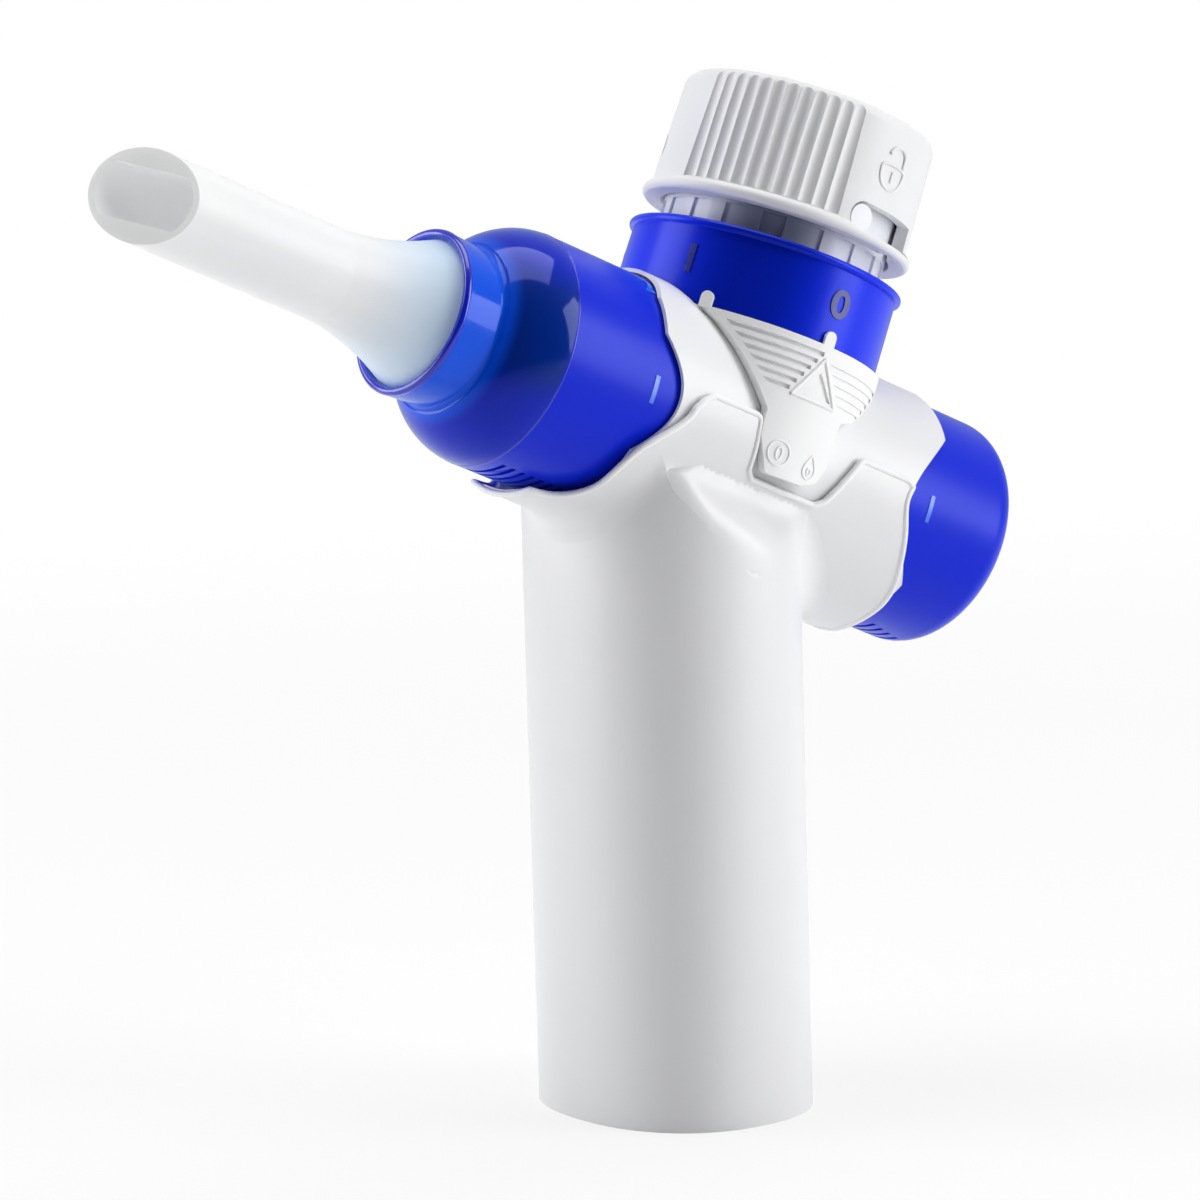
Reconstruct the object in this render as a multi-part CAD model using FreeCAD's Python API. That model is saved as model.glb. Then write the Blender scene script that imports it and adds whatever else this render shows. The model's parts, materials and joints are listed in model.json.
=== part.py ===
import FreeCAD, Part
import math
import os

# Hand-held breathing trainer: an upright grip carries a tilted cross tube.
# Finished model: origin at the middle of the foot, +Z up, mouthpiece towards -X, millimetres.
# The head is drawn straight first: X along the cross tube (mouthpiece at -X), Z up the neck,
# with the two axes meeting at zero. place_head then tilts it and lifts it onto the grip.

V = FreeCAD.Vector
AXIS_X = V(1, 0, 0)
AXIS_Y = V(0, 1, 0)
AXIS_Z = V(0, 0, 1)

# Where the head sits on the grip
TILT = 23.5
HEAD_X = 11.8
HEAD_Z = 116.4

# Clearances
FAR = 150.0
RUN = 0.06
GAP = 0.3
SEAT = 0.1

# Grip
GRIP_DEPTH = 43.2
GRIP_WIDTH = 52.0
GRIP_POWER = 2.25
GRIP_WALL = 2.4
GRIP_TOP = 135.0
FOOT_PLATE = 2.6
FOOT_LIP = 1.2
FOOT_RIM_HEIGHT = 9.0
FOOT_RIM_WALL = 1.6

# Cross tube
TUBE_R = 22.1
BORE_R = 17.0
SPIGOT_R = 19.0
LIP_WALL = 0.7
FRONT_WEB = -25.0
REAR_WEB = 25.0
FRONT_LIP = -30.6
REAR_LIP = 36.8
FRONT_SPIGOT = -49.5
REAR_SPIGOT = 46.0
LEDGE_WALL = 1.5
LEDGE_LENGTH = 2.0
FRONT_NOSE = -25.6
CROWN_LIP = -28.0
CROWN_RISE = 16.5
REAR_NOSE = 29.0

# Cradle of the grip
CRADLE_WALL = 1.0
CRADLE_FRONT = -40.3
CRADLE_REAR = 38.5
CRADLE_FRONT_NOSE = -23.0
CRADLE_REAR_NOSE = 27.6
CORNER_R = 1.2
SHOULDER_R = 12.0
SHOULDER_TOP = -12.0
BLEND_R = 6.0
EAR_HEIGHT = 3.1
NOTCH_FLOOR = -7.5

# Neck
NECK_R = 20.2
NECK_BORE_R = 18.2
NECK_TOP = 54.0
NECK_FLOOR = 21.0
NECK_THROAT_R = 15.0
WINDOW_BOTTOM = 25.0
WINDOW_TOP = 31.0
WINDOW_ANGLE = 50.0
WINDOW_PLACES = (45, 135, 225, 315)
SHUTTER_ANGLE = 30.0
PANEL_COUNT = 18
PANEL_DEPTH = 0.5
PANEL_ANGLE = 12.0
PANEL_BOTTOM = 33.0
PANEL_TOP = 38.0

# Blue dials
DIAL_R = 21.0
DIAL_CREASE = -49.5
DIAL_NOSE = -60.0
POCKET_OUTER = 17.0
POCKET_INNER = 15.0
POCKET_END = -57.4
DIAL_WALL_FRONT = -54.0
DIAL_WALL = 2.2
SOCKET_R = 14.3
SOCKET_RIM_R = 14.7
SOCKET_RIM = -68.2
SOCKET_WALL = 1.5
CUP_END = 56.4
CUP_CORNER = 5.0
CUP_DOME = 1.1
CUP_WALL = 2.6
GROOVE_DEPTH = 0.6
GROOVE_WIDTH = 0.9
POST_R = 4.0
POST_START = 34.0

# Top dial and index plates
TRENCH_FLOOR = 18.6
TRENCH_CLEARANCE = 0.25
TOP_DIAL_R = 24.2
TOP_DIAL_BEAD_R = 24.7
TOP_DIAL_TOP = 33.5
TOP_DIAL_WALL = 1.4
SLEEVE_WALL = 1.2
PLATE_R = 25.1
PLATE_WALL = 1.6
TOOTH_HEIGHT = 2.6
TOOTH_R = 1.15
TOOTH_PLACES = (34, 88)
MARK_LEFT = -5.5
MARK_RIGHT = 4.3
MARK_TIP = -0.8
MARK_FOOT = 8.6
MARK_TOP = 16.2
MARK_DEPTH = 0.4
RIDGE_COUNT = 6
RIDGE_TOP = 17.3
RIDGE_PITCH = 1.5
RIDGE_GAP = 0.75
RIDGE_DEPTH = 0.6

# Cap
CAP_R = 23.3
CAP_TOP_R = 22.8
CAP_TOP = 61.4
CAP_BOTTOM = 38.4
CAP_WALL = 2.3
CAP_ROOF = 2.2
FLANGE_R = 24.4
FLANGE_HEIGHT = 2.0
FLUTE_COUNT = 12
FLUTE_R = 1.7
FLUTE_DEPTH = 0.65
FLUTE_START = 2.0
FLUTE_END = 76.0
PEG_AZIMUTH = 88.6
PEG_HEIGHT = 42.2
PEG_R = 2.3
PEG_CLEARANCE = 0.45
PEG_REACH = 4.2
CAP_FOLD = (0, 180)
DIMPLE_AZIMUTH = -34.0
DIMPLE_HEIGHT = 47.0
DIMPLE_R = 2.7
DIMPLE_FLOOR = 1.9
CAP_TURN = 30.0
ENTRY_ANGLE = 14.0
SLOT_SPARE = 8.0

# Mouthpiece
MOUTH_R = 8.0
MOUTH_BORE_R = 7.1
MOUTH_BORE_HALF = 4.6
MOUTH_TIP = -124.8
MOUTH_SLOPE = 0.69
MOUTH_FLARE_START = -67.6
MOUTH_FLARE_END = -87.0
MOUTH_WALL = 1.3

# Valves
SEAL_WIRE = 0.75
SEAL_SIDES = 8
SEAL_DEPTH = 1.38
SEAL_GROOVE = 0.9
FRONT_SEAL = -44.7
REAR_SEAL = 34.9
NECK_SEAL = 22.9
BEAD_DEPTH = 0.8
BEAD_WIDTH = 1.3
FRONT_BEAD = -29.3
REAR_BEAD = 31.9
VALVE_SEAT_START = 24.0
VALVE_SEAT_WALL = 2.4
VALVE_OPENING_R = 10.0
VENT_LENGTH = 2.4
VENT_ANGLE = 34.0
VENT_MARGIN = 0.6
DISC_R = 12.0
DISC_WALL = 1.6
STEM_R = 2.0
SPRING_R = 7.2
SPRING_WIRE = 0.8
SPRING_TURNS = 4
CARRIAGE_START = 41.5
CARRIAGE_WALL = 2.5
CARRIAGE_KEY = 4.0
KEYWAY_LENGTH = 9.8
KEYWAY_DEPTH = 1.2
FLAP_WALL = 0.8
FILTER_WALL = 3.0
SCREW_R = 1.5
SCREW_HEAD_R = 2.8
SCREW_HEAD = 2.0
SCREW_LENGTH = 10.0
SCREW_PLACES = (-5.0, 9.0)
CROSS_SPAN = 3.4
CROSS_WIDTH = 0.8
CROSS_DEPTH = 1.1
BOSS_WALL = 1.4
BOSS_REACH = 22.0
BOSS_HEIGHT = 4.5

# Rings of slots and grooves
PORT_OUTER_R = 11.0
PORT_INNER_R = 4.0
PORT_ANGLE = 80.0
VENT_PLACES = (0, 90, 180, 270)
FRONT_GROOVES = 7
FRONT_GROOVE_START = -46.7
FRONT_GROOVE_PITCH = 2.1
FRONT_GROOVE_ANGLE = 46.0
REAR_GROOVES = 5
REAR_GROOVE_START = 43.0
REAR_GROOVE_PITCH = 2.5
REAR_GROOVE_ANGLE = 34.0
REAR_GROOVE_TAPER = 3.5
UNDERSIDE = 270.0
SKIRT_SLOTS = 6
SKIRT_SLOT_END = 29.4
SKIRT_SLOT_ANGLE = 22.0


def place_head(shape):
    shape = shape.copy()
    shape.rotate(V(0, 0, 0), AXIS_Y, TILT)
    shape.translate(V(HEAD_X, 0, HEAD_Z))
    return shape


def polygon(points):
    return Part.makePolygon(points + [points[0]])


def turned_x(steps):
    """Turns an outline of (place along the tube, radius) steps round the tube axis.
    A step of four numbers is an arc: a point on the way, then its end."""
    edges = []
    start = V(steps[0][0], 0, steps[0][1])
    first = start
    for step in steps[1:]:
        end = V(step[-2], 0, step[-1])
        if len(step) == 4:
            edges.append(Part.Arc(start, V(step[0], 0, step[1]), end).toShape())
        else:
            edges.append(Part.makeLine(start, end))
        start = end
    edges.append(Part.makeLine(start, first))
    face = Part.Face(Part.Wire(edges))
    return face.revolve(V(0, 0, 0), AXIS_X, 360)


def turned_z(steps):
    """Turns an outline of (radius, height) steps round the neck axis, with arcs as in turned_x."""
    edges = []
    start = V(steps[0][0], 0, steps[0][1])
    first = start
    for step in steps[1:]:
        end = V(step[-2], 0, step[-1])
        if len(step) == 4:
            edges.append(Part.Arc(start, V(step[0], 0, step[1]), end).toShape())
        else:
            edges.append(Part.makeLine(start, end))
        start = end
    edges.append(Part.makeLine(start, first))
    face = Part.Face(Part.Wire(edges))
    return face.revolve(V(0, 0, 0), AXIS_Z, 360)


def rod_x(radius, start, end):
    return Part.makeCylinder(radius, end - start, V(start, 0, 0), AXIS_X)


def tube_x(outer, inner, start, end):
    return rod_x(outer, start, end).cut(rod_x(inner, start, end))


def rod_z(radius, bottom, top):
    return Part.makeCylinder(radius, top - bottom, V(0, 0, bottom), AXIS_Z)


def tube_z(outer, inner, bottom, top):
    return rod_z(outer, bottom, top).cut(rod_z(inner, bottom, top))


def sector_x(outer, inner, start, end, middle, spread):
    """A piece of a tube round the cross tube's axis, centred on an angle from +Y towards +Z."""
    piece = Part.makeCylinder(outer, end - start, V(0, 0, 0), AXIS_Z, spread)
    piece.rotate(V(0, 0, 0), AXIS_Y, 90)
    piece.rotate(V(0, 0, 0), AXIS_X, middle + 90 - spread / 2)
    piece.translate(V(start, 0, 0))
    return piece.cut(rod_x(inner, start, end))


def sector_z(outer, inner, bottom, top, middle, spread):
    """A piece of a tube round the neck axis, centred on an azimuth counted from the mouthpiece
    side towards the viewer's side."""
    piece = Part.makeCylinder(outer, top - bottom, V(0, 0, bottom), AXIS_Z, spread)
    piece = piece.cut(rod_z(inner, bottom, top))
    piece.rotate(V(0, 0, 0), AXIS_Z, 180 + middle - spread / 2)
    return piece


def flat_prism(points, curved=False):
    """A prism right through the head along Y over an outline in the (tube, neck) plane."""
    depth = 4 * TUBE_R
    corners = [V(x, -depth / 2, z) for x, z in points]
    if curved:
        curve = Part.BSplineCurve()
        curve.interpolate(corners)
        wire = Part.Wire([curve.toShape(), Part.makeLine(corners[-1], corners[0])])
    else:
        wire = polygon(corners)
    return Part.Face(wire).extrude(V(0, depth, 0))


# Wavy edges of the windows that show a dial's number: (way along the tube, way round from the nose)
LIP_WAVE = ((17.5, 21.8), (12.5, 19.0), (9.5, 15.5), (5.8, 11.3), (2.8, 7.5), (0.8, 4.0), (0.0, 0.0))
FRONT_WAVE = ((24.0, 22.6), (16.6, 21.7), (11.5, 20.5), (9.0, 17.8), (8.5, 15.0), (6.6, 9.5), (0.0, 0.0))
REAR_WAVE = ((12.5, 23.5), (9.2, 22.3), (8.3, 18.1), (6.8, 14.1), (4.5, 10.0), (2.0, 5.1), (0.0, 0.0))


def number_window(nose, outward, wave):
    """The window in a lip that shows the number on a dial. outward is +1 or -1."""
    lower = [(nose + outward * run, -rise) for run, rise in wave]
    upper = [(x, -z) for x, z in reversed(lower[:-1])]
    return flat_prism(lower + upper, curved=True)


def rounded_prism(points, radius):
    """A prism like flat_prism's, with every corner of its outline rounded."""
    depth = 4 * TUBE_R
    corners = [V(x, -depth / 2, z) for x, z in points]
    rounds = []
    for here, corner in enumerate(corners):
        before = corners[here - 1] - corner
        after = corners[(here + 1) % len(corners)] - corner
        half = before.getAngle(after) / 2
        reach = min(radius / math.tan(half), 0.45 * min(before.Length, after.Length))
        bend = reach * math.tan(half)
        start = corner + before.normalize() * reach
        end = corner + after.normalize() * reach
        inward = (start + end) * 0.5 - corner
        middle = corner + inward.normalize() * (bend / math.sin(half) - bend)
        rounds.append((start, middle, end))
    edges = []
    for here, (start, middle, end) in enumerate(rounds):
        following = rounds[(here + 1) % len(rounds)][0]
        edges.append(Part.Arc(start, middle, end).toShape())
        edges.append(Part.makeLine(end, following))
    return Part.Face(Part.Wire(edges)).extrude(V(0, depth, 0))


def crown_cut():
    """Takes the front lip back at its crown, before the top dial."""
    return flat_prism([
        (FRONT_LIP - 1, CROWN_RISE),
        (FRONT_LIP, CROWN_RISE),
        (CROWN_LIP, TUBE_R - 1),
        (CROWN_LIP, TUBE_R + 1),
        (FRONT_LIP - 1, TUBE_R + 1),
    ])


def grip_section(shrink, height):
    """The oval of the grip, drawn in by shrink all round."""
    half_depth = GRIP_DEPTH / 2 - shrink
    half_width = GRIP_WIDTH / 2 - shrink
    points = []
    count = 20
    for step in range(count):
        angle = 2 * math.pi * step / count
        c = math.cos(angle)
        s = math.sin(angle)
        x = half_depth * math.copysign(abs(c) ** (2 / GRIP_POWER), c)
        y = half_width * math.copysign(abs(s) ** (2 / GRIP_POWER), s)
        points.append(V(x, y, height))
    curve = Part.BSplineCurve()
    curve.interpolate(points, True)
    return Part.Wire(curve.toShape())


def grip_prism(shrink, bottom, top):
    return Part.Face(grip_section(shrink, bottom)).extrude(V(0, 0, top - bottom))


def cradle_outline():
    """Everything above the cradle's edge: two ears on each side with a notch between them."""
    return rounded_prism([
        (-60, TUBE_R * 2),
        (-60, EAR_HEIGHT - 18),
        (-33.5, EAR_HEIGHT - 18),
        (-21.6, EAR_HEIGHT - 1.4),
        (-19.7, EAR_HEIGHT),
        (-8.9, EAR_HEIGHT),
        (-7.6, NOTCH_FLOOR + 1.2),
        (-6.2, NOTCH_FLOOR),
        (8.6, NOTCH_FLOOR),
        (10.4, NOTCH_FLOOR + 1.2),
        (15.4, EAR_HEIGHT),
        (26.7, EAR_HEIGHT),
        (29.0, EAR_HEIGHT - 1.2),
        (60, EAR_HEIGHT - 1.3),
        (60, TUBE_R * 2),
    ], CORNER_R)


def shoulder(shrink):
    """All that lies under the rounded top of the grip's column, drawn in by shrink."""
    centre_y = GRIP_WIDTH / 2 - SHOULDER_R
    centre_z = SHOULDER_TOP - SHOULDER_R
    top = SHOULDER_TOP - shrink
    body = Part.makeBox(2 * FAR, 2 * FAR, 2 * FAR, V(-FAR, -FAR, centre_z - 2 * FAR))
    body = body.fuse(Part.makeBox(2 * FAR, 2 * centre_y, 2 * FAR, V(-FAR, -centre_y, top - 2 * FAR)))
    for side in (-1, 1):
        edge = Part.makeCylinder(SHOULDER_R - shrink, 2 * FAR, V(-FAR, side * centre_y, centre_z), AXIS_X)
        body = body.fuse(edge)
    return place_head(body)


def to_head(point):
    """A point of the whole object, told in the head's own directions."""
    x = point.x - HEAD_X
    z = point.z - HEAD_Z
    c = math.cos(math.radians(TILT))
    s = math.sin(math.radians(TILT))
    return V(c * x - s * z, point.y, s * x + c * z)


def column_joint(body, radius):
    """The edges where the grip's column meets the underside of the cradle's ring."""
    joint = []
    for edge in body.Edges:
        points = [to_head(point) for point in edge.discretize(7)[1:-1]]
        on_ring = [abs(math.hypot(point.y, point.z) - radius) < SEAT / 10 for point in points]
        between = [CRADLE_FRONT + SEAT < point.x < CRADLE_REAR - SEAT and point.z < 0 for point in points]
        if all(on_ring) and all(between):
            joint.append(edge)
    return joint


def screw_boss(x, inner_r):
    """The boss inside the cradle's floor that takes one screw."""
    seat = screw_seat(x)
    boss = Part.makeCylinder(SCREW_HEAD_R + BOSS_WALL, BOSS_REACH, V(x, 0, seat))
    boss = boss.cut(place_head(rod_x(inner_r + SEAT, -FAR, FAR)))
    low_half = Part.makeBox(2 * FAR, 2 * FAR, 2 * FAR, V(-FAR, -FAR, -2 * FAR))
    return boss.common(place_head(low_half))


def handle_shell():
    inner_r = TUBE_R + SEAT
    outer_r = inner_r + CRADLE_WALL
    body = grip_prism(0, 0, GRIP_TOP).common(shoulder(0))
    body = body.fuse(place_head(rod_x(outer_r, CRADLE_FRONT, CRADLE_REAR))).removeSplitter()
    body = body.makeFillet(BLEND_R, column_joint(body, outer_r))
    body = body.cut(place_head(rod_x(inner_r, -FAR, FAR)))
    body = body.cut(place_head(cradle_outline()))
    body = body.cut(place_head(number_window(CRADLE_FRONT_NOSE, -1, FRONT_WAVE)))
    body = body.cut(place_head(number_window(CRADLE_REAR_NOSE, 1, REAR_WAVE)))
    hollow = grip_prism(GRIP_WALL, -1, GRIP_TOP).common(shoulder(GRIP_WALL))
    hollow = hollow.cut(place_head(rod_x(outer_r + GRIP_WALL, -FAR, FAR)))
    body = body.cut(hollow)
    body = body.cut(grip_prism(FOOT_LIP, -1, FOOT_PLATE))
    for x in SCREW_PLACES:
        body = body.fuse(screw_boss(x, inner_r))
        body = body.cut(Part.makeCylinder(SCREW_R + 0.2, BOSS_REACH, V(x, 0, screw_seat(x) - 1)))
    return body.removeSplitter()


def screw_seat(x):
    """Height of the boss face under a cradle screw: the cradle's underside less the boss."""
    axis_height = HEAD_Z - (x - HEAD_X) * math.tan(math.radians(TILT))
    underside = (TUBE_R + SEAT + CRADLE_WALL) / math.cos(math.radians(TILT))
    return axis_height - underside - BOSS_HEIGHT


def base_cap():
    plate = grip_prism(FOOT_LIP + SEAT, 0, FOOT_PLATE)
    outer = grip_prism(GRIP_WALL + SEAT, 0, FOOT_RIM_HEIGHT)
    inner = grip_prism(GRIP_WALL + SEAT + FOOT_RIM_WALL, FOOT_PLATE, FOOT_RIM_HEIGHT)
    return plate.fuse(outer.cut(inner)).removeSplitter()


def cradle_screws():
    screws = []
    for x in SCREW_PLACES:
        seat = screw_seat(x)
        shank = Part.makeCylinder(SCREW_R, SCREW_LENGTH, V(x, 0, seat))
        head = Part.makeCylinder(SCREW_HEAD_R, SCREW_HEAD, V(x, 0, seat - SCREW_HEAD))
        screw = shank.fuse(head)
        for turn in (0, 90):
            corner = V(-CROSS_SPAN / 2, -CROSS_WIDTH / 2, seat - SCREW_HEAD)
            slot = Part.makeBox(CROSS_SPAN, CROSS_WIDTH, CROSS_DEPTH, corner)
            slot.rotate(V(0, 0, 0), AXIS_Z, turn)
            slot.translate(V(x, 0, 0))
            screw = screw.cut(slot)
        screws.append(screw)
    return Part.makeCompound(screws)


def seal_ring(place, ring_r):
    """Outline steps of an eight-sided seal ring: (place along its axis, radius)."""
    radius = SEAL_WIRE - 0.05
    steps = []
    for corner in range(SEAL_SIDES):
        angle = 2 * math.pi * (corner + 0.5) / SEAL_SIDES
        steps.append((place + radius * math.cos(angle), ring_r + radius * math.sin(angle)))
    return steps


def seal_groove_x(place):
    return tube_x(SPIGOT_R + 1, SPIGOT_R - SEAL_DEPTH, place - SEAL_GROOVE, place + SEAL_GROOVE)


def seal_groove_z(place):
    return tube_z(NECK_R + 1, NECK_R - SEAL_DEPTH, place - SEAL_GROOVE, place + SEAL_GROOVE)


def neck_pegs():
    pegs = []
    for turn in CAP_FOLD:
        peg = Part.makeCylinder(PEG_R, PEG_REACH, V(-NECK_R + 1.5, 0, PEG_HEIGHT), V(-1, 0, 0))
        peg.rotate(V(0, 0, 0), AXIS_Z, PEG_AZIMUTH + turn)
        pegs.append(peg)
    return pegs


def tube_body():
    """The cross tube with its two lips, the neck and the ring-shaped trench under the top dial."""
    lip_inner = TUBE_R - LIP_WALL
    front = tube_x(TUBE_R, lip_inner, FRONT_LIP, FRONT_WEB)
    front = front.cut(number_window(FRONT_NOSE, -1, LIP_WAVE)).cut(crown_cut())
    rear = tube_x(TUBE_R, lip_inner, REAR_WEB, REAR_LIP).cut(number_window(REAR_NOSE, 1, LIP_WAVE))
    body = rod_x(TUBE_R, FRONT_WEB, REAR_WEB)
    body = body.fuse(rod_x(SPIGOT_R, FRONT_SPIGOT, REAR_SPIGOT)).fuse(front).fuse(rear)
    body = body.cut(tube_z(TOP_DIAL_R + TRENCH_CLEARANCE, NECK_R, TRENCH_FLOOR, NECK_TOP))
    return body.fuse(rod_z(NECK_R, 0, NECK_TOP))


def air_way():
    """All the bores, vents and windows that the air goes through."""
    ways = [rod_z(NECK_BORE_R, NECK_FLOOR, NECK_TOP), rod_z(NECK_THROAT_R, 0, NECK_FLOOR)]
    ways.append(rod_x(BORE_R, FRONT_SPIGOT, REAR_SPIGOT))
    vent_start = VALVE_SEAT_START + VALVE_SEAT_WALL + VENT_MARGIN
    for middle in VENT_PLACES:
        vent = sector_x(SPIGOT_R + 1, BORE_R - 1, vent_start, vent_start + VENT_LENGTH, middle, VENT_ANGLE)
        ways.append(vent)
    for middle in WINDOW_PLACES:
        window = sector_z(NECK_R + 1, NECK_BORE_R - 1, WINDOW_BOTTOM, WINDOW_TOP, middle, WINDOW_ANGLE)
        ways.append(window)
    return ways


def keyways():
    """Two grooves in the rear bore that keep the carriage from turning."""
    grooves = []
    for side in (0, 180):
        corner = V(REAR_SPIGOT - KEYWAY_LENGTH, -CARRIAGE_KEY / 2 - SEAT, BORE_R - 2)
        keyway = Part.makeBox(KEYWAY_LENGTH + 1, CARRIAGE_KEY + 2 * SEAT, 2 + KEYWAY_DEPTH, corner)
        keyway.rotate(V(0, 0, 0), AXIS_X, side)
        grooves.append(keyway)
    return grooves


def neck_panels():
    """The shallow upright panels round the neck."""
    panels = []
    for step in range(PANEL_COUNT):
        azimuth = (step + 0.5) * 360 / PANEL_COUNT
        floor_r = NECK_R - PANEL_DEPTH
        panels.append(sector_z(NECK_R + 1, floor_r, PANEL_BOTTOM, PANEL_TOP, azimuth, PANEL_ANGLE))
    return panels


def cross_tube():
    body = tube_body()
    for way in air_way():
        body = body.cut(way)
    ledge = tube_x(BORE_R + 0.5, BORE_R - LEDGE_WALL, VALVE_SEAT_START - LEDGE_LENGTH, VALVE_SEAT_START)
    body = body.fuse(ledge)
    for groove in keyways() + neck_panels():
        body = body.cut(groove)
    for place in (FRONT_SEAL, REAR_SEAL):
        body = body.cut(seal_groove_x(place))
    for place in (FRONT_BEAD, REAR_BEAD):
        body = body.cut(tube_x(SPIGOT_R + 1, SPIGOT_R - BEAD_DEPTH, place - BEAD_WIDTH, place + BEAD_WIDTH))
    body = body.cut(seal_groove_z(NECK_SEAL))
    body = body.fuse(Part.makeCompound(neck_pegs()))
    body = place_head(body)
    for x in SCREW_PLACES:
        body = body.cut(Part.makeCylinder(SCREW_R + SEAT, SCREW_LENGTH + 0.6, V(x, 0, screw_seat(x))))
    return body.removeSplitter()


def plate_outline():
    right = [(20.8, TRENCH_FLOOR), (16.2, 13.0), (10.7, 8.3), (7.3, 7.2)]
    tongue = [(7.2, -1.0), (5.6, -4.2), (2.0, -5.7), (-5.8, -5.9), (-8.4, 0.3)]
    left = [(-8.6, 4.8), (-11.9, 9.0), (-15.1, 12.8), (-18.6, 16.6), (-21.3, TRENCH_FLOOR)]
    return rounded_prism(right + tongue + left, CORNER_R)


def marker_recess():
    """The sunk triangle in the middle of the shield, with a bar left standing along each side."""
    field = flat_prism([
        (MARK_LEFT + 1.2, MARK_FOOT + 0.8),
        (MARK_RIGHT - 1.2, MARK_FOOT + 0.8),
        (MARK_TIP, MARK_TOP - 2.4),
    ])
    return field.cut(rod_z(PLATE_R - MARK_DEPTH, -FAR, FAR))


def ridge_grooves():
    """Grooves that leave a stack of grip ridges on both sides of the triangle."""
    grooves = []
    for step in range(RIDGE_COUNT):
        z = RIDGE_TOP - step * RIDGE_PITCH
        rise = (z - MARK_FOOT) / (MARK_TOP - MARK_FOOT)
        left_end = MARK_LEFT + rise * (MARK_TIP - MARK_LEFT) - 1.2
        right_end = MARK_RIGHT + rise * (MARK_TIP - MARK_RIGHT) + 1.2
        edge = 9.6 + 0.96 * (z - 7.0)
        spans = [(-edge + 1.4, left_end, RIDGE_DEPTH)]
        if step > 0:
            spans.append((right_end, edge - 0.2, RIDGE_DEPTH / 2))
        for start, end, depth in spans:
            low = z - RIDGE_GAP
            groove = flat_prism([(start, z), (end, z), (end, low), (start + RIDGE_GAP, low)])
            grooves.append(groove.cut(rod_z(PLATE_R - depth, -FAR, FAR)))
    return grooves


def pointer_tooth(azimuth):
    """A round-topped tooth that stands up in front of the top dial."""
    half_angle = math.degrees(TOOTH_R / PLATE_R)
    top = TRENCH_FLOOR + TOOTH_HEIGHT - TOOTH_R
    inner = TOP_DIAL_R + GAP
    tooth = sector_z(PLATE_R, inner, TRENCH_FLOOR - 0.4, top, azimuth, 2 * half_angle)
    crown = Part.makeCylinder(TOOTH_R, PLATE_R, V(-1, 0, top), V(-1, 0, 0))
    crown.rotate(V(0, 0, 0), AXIS_Z, azimuth)
    return tooth.fuse(crown.common(tube_z(PLATE_R, inner, top - TOOTH_R, top + TOOTH_R)))


def index_plate(side):
    """The shield on one side: a curved plate under the top dial, with a tongue over the cradle."""
    plate = tube_z(PLATE_R, PLATE_R - PLATE_WALL, -20, TRENCH_FLOOR)
    shelf = tube_z(PLATE_R, NECK_R + SEAT, TRENCH_FLOOR - 1.4, TRENCH_FLOOR)
    plate = plate.fuse(shelf).common(plate_outline())
    plate = plate.cut(rod_x(TUBE_R + SEAT, -60, 60))
    plate = plate.cut(rod_z(NECK_R + SEAT, -30, 60))
    plate = plate.common(Part.makeBox(120, 60, 120, V(-60, -60 if side < 0 else 0, -60)))
    for azimuth in TOOTH_PLACES:
        plate = plate.fuse(pointer_tooth(-side * azimuth))
    plate = plate.cut(marker_recess())
    return plate.cut(Part.makeCompound(ridge_grooves())).removeSplitter()


def snap_bead(place):
    """The ring inside a dial that holds it on its spigot."""
    half = BEAD_WIDTH / 2
    return tube_x(SPIGOT_R + 0.5, SPIGOT_R - BEAD_DEPTH / 2, place - half, place + half)


def thumb_groove(middle, spread):
    """A grip groove across the underside of a dial."""
    start = middle - GROOVE_WIDTH / 2
    return sector_x(DIAL_R + 1, DIAL_R - GROOVE_DEPTH, start, start + GROOVE_WIDTH, UNDERSIDE, spread)


def port(start, end, middle):
    """One of the two openings in the dial's wall and in the disc behind it."""
    return sector_x(PORT_OUTER_R, PORT_INNER_R, start, end, middle, PORT_ANGLE)


def front_dial():
    bore = SPIGOT_R + RUN
    inside = DIAL_WALL_FRONT + DIAL_WALL
    body = turned_x([
        (FRONT_WEB - SEAT, bore),
        (FRONT_WEB - SEAT, DIAL_R),
        (DIAL_CREASE, DIAL_R),
        (DIAL_CREASE - 6.5, 19.1, DIAL_NOSE, 15.3),
        (DIAL_NOSE - 0.3, 14.6, DIAL_NOSE - 1.0, SOCKET_R),
        (SOCKET_RIM, SOCKET_RIM_R),
        (SOCKET_RIM, SOCKET_RIM_R - SOCKET_WALL),
        (DIAL_WALL_FRONT, SOCKET_R - SOCKET_WALL - 0.1),
        (DIAL_WALL_FRONT, 0),
        (inside, 0),
        (inside, bore),
    ])
    body = body.cut(tube_x(POCKET_OUTER, POCKET_INNER, POCKET_END, inside))
    body = body.fuse(snap_bead(FRONT_BEAD))
    for middle in (0, 180):
        body = body.cut(port(DIAL_WALL_FRONT - 1, inside + 1, middle))
    for step in range(FRONT_GROOVES):
        middle = FRONT_GROOVE_START + step * FRONT_GROOVE_PITCH
        body = body.cut(thumb_groove(middle, FRONT_GROOVE_ANGLE))
    return body.removeSplitter()


def front_port_disc():
    front = DIAL_WALL_FRONT + DIAL_WALL + GAP
    disc = rod_x(SPIGOT_R - 0.2, front, FRONT_SPIGOT)
    plug = tube_x(BORE_R - SEAT, BORE_R - 1.6, FRONT_SPIGOT - 0.5, FRONT_SPIGOT + 4)
    disc = disc.fuse(plug)
    for middle in (0, 180):
        disc = disc.cut(port(front - 1, FRONT_SPIGOT + 1, middle))
    return disc.removeSplitter()


def seal_x(place):
    return turned_x(seal_ring(place, SPIGOT_R - SEAL_WIRE + 0.02))


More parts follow.
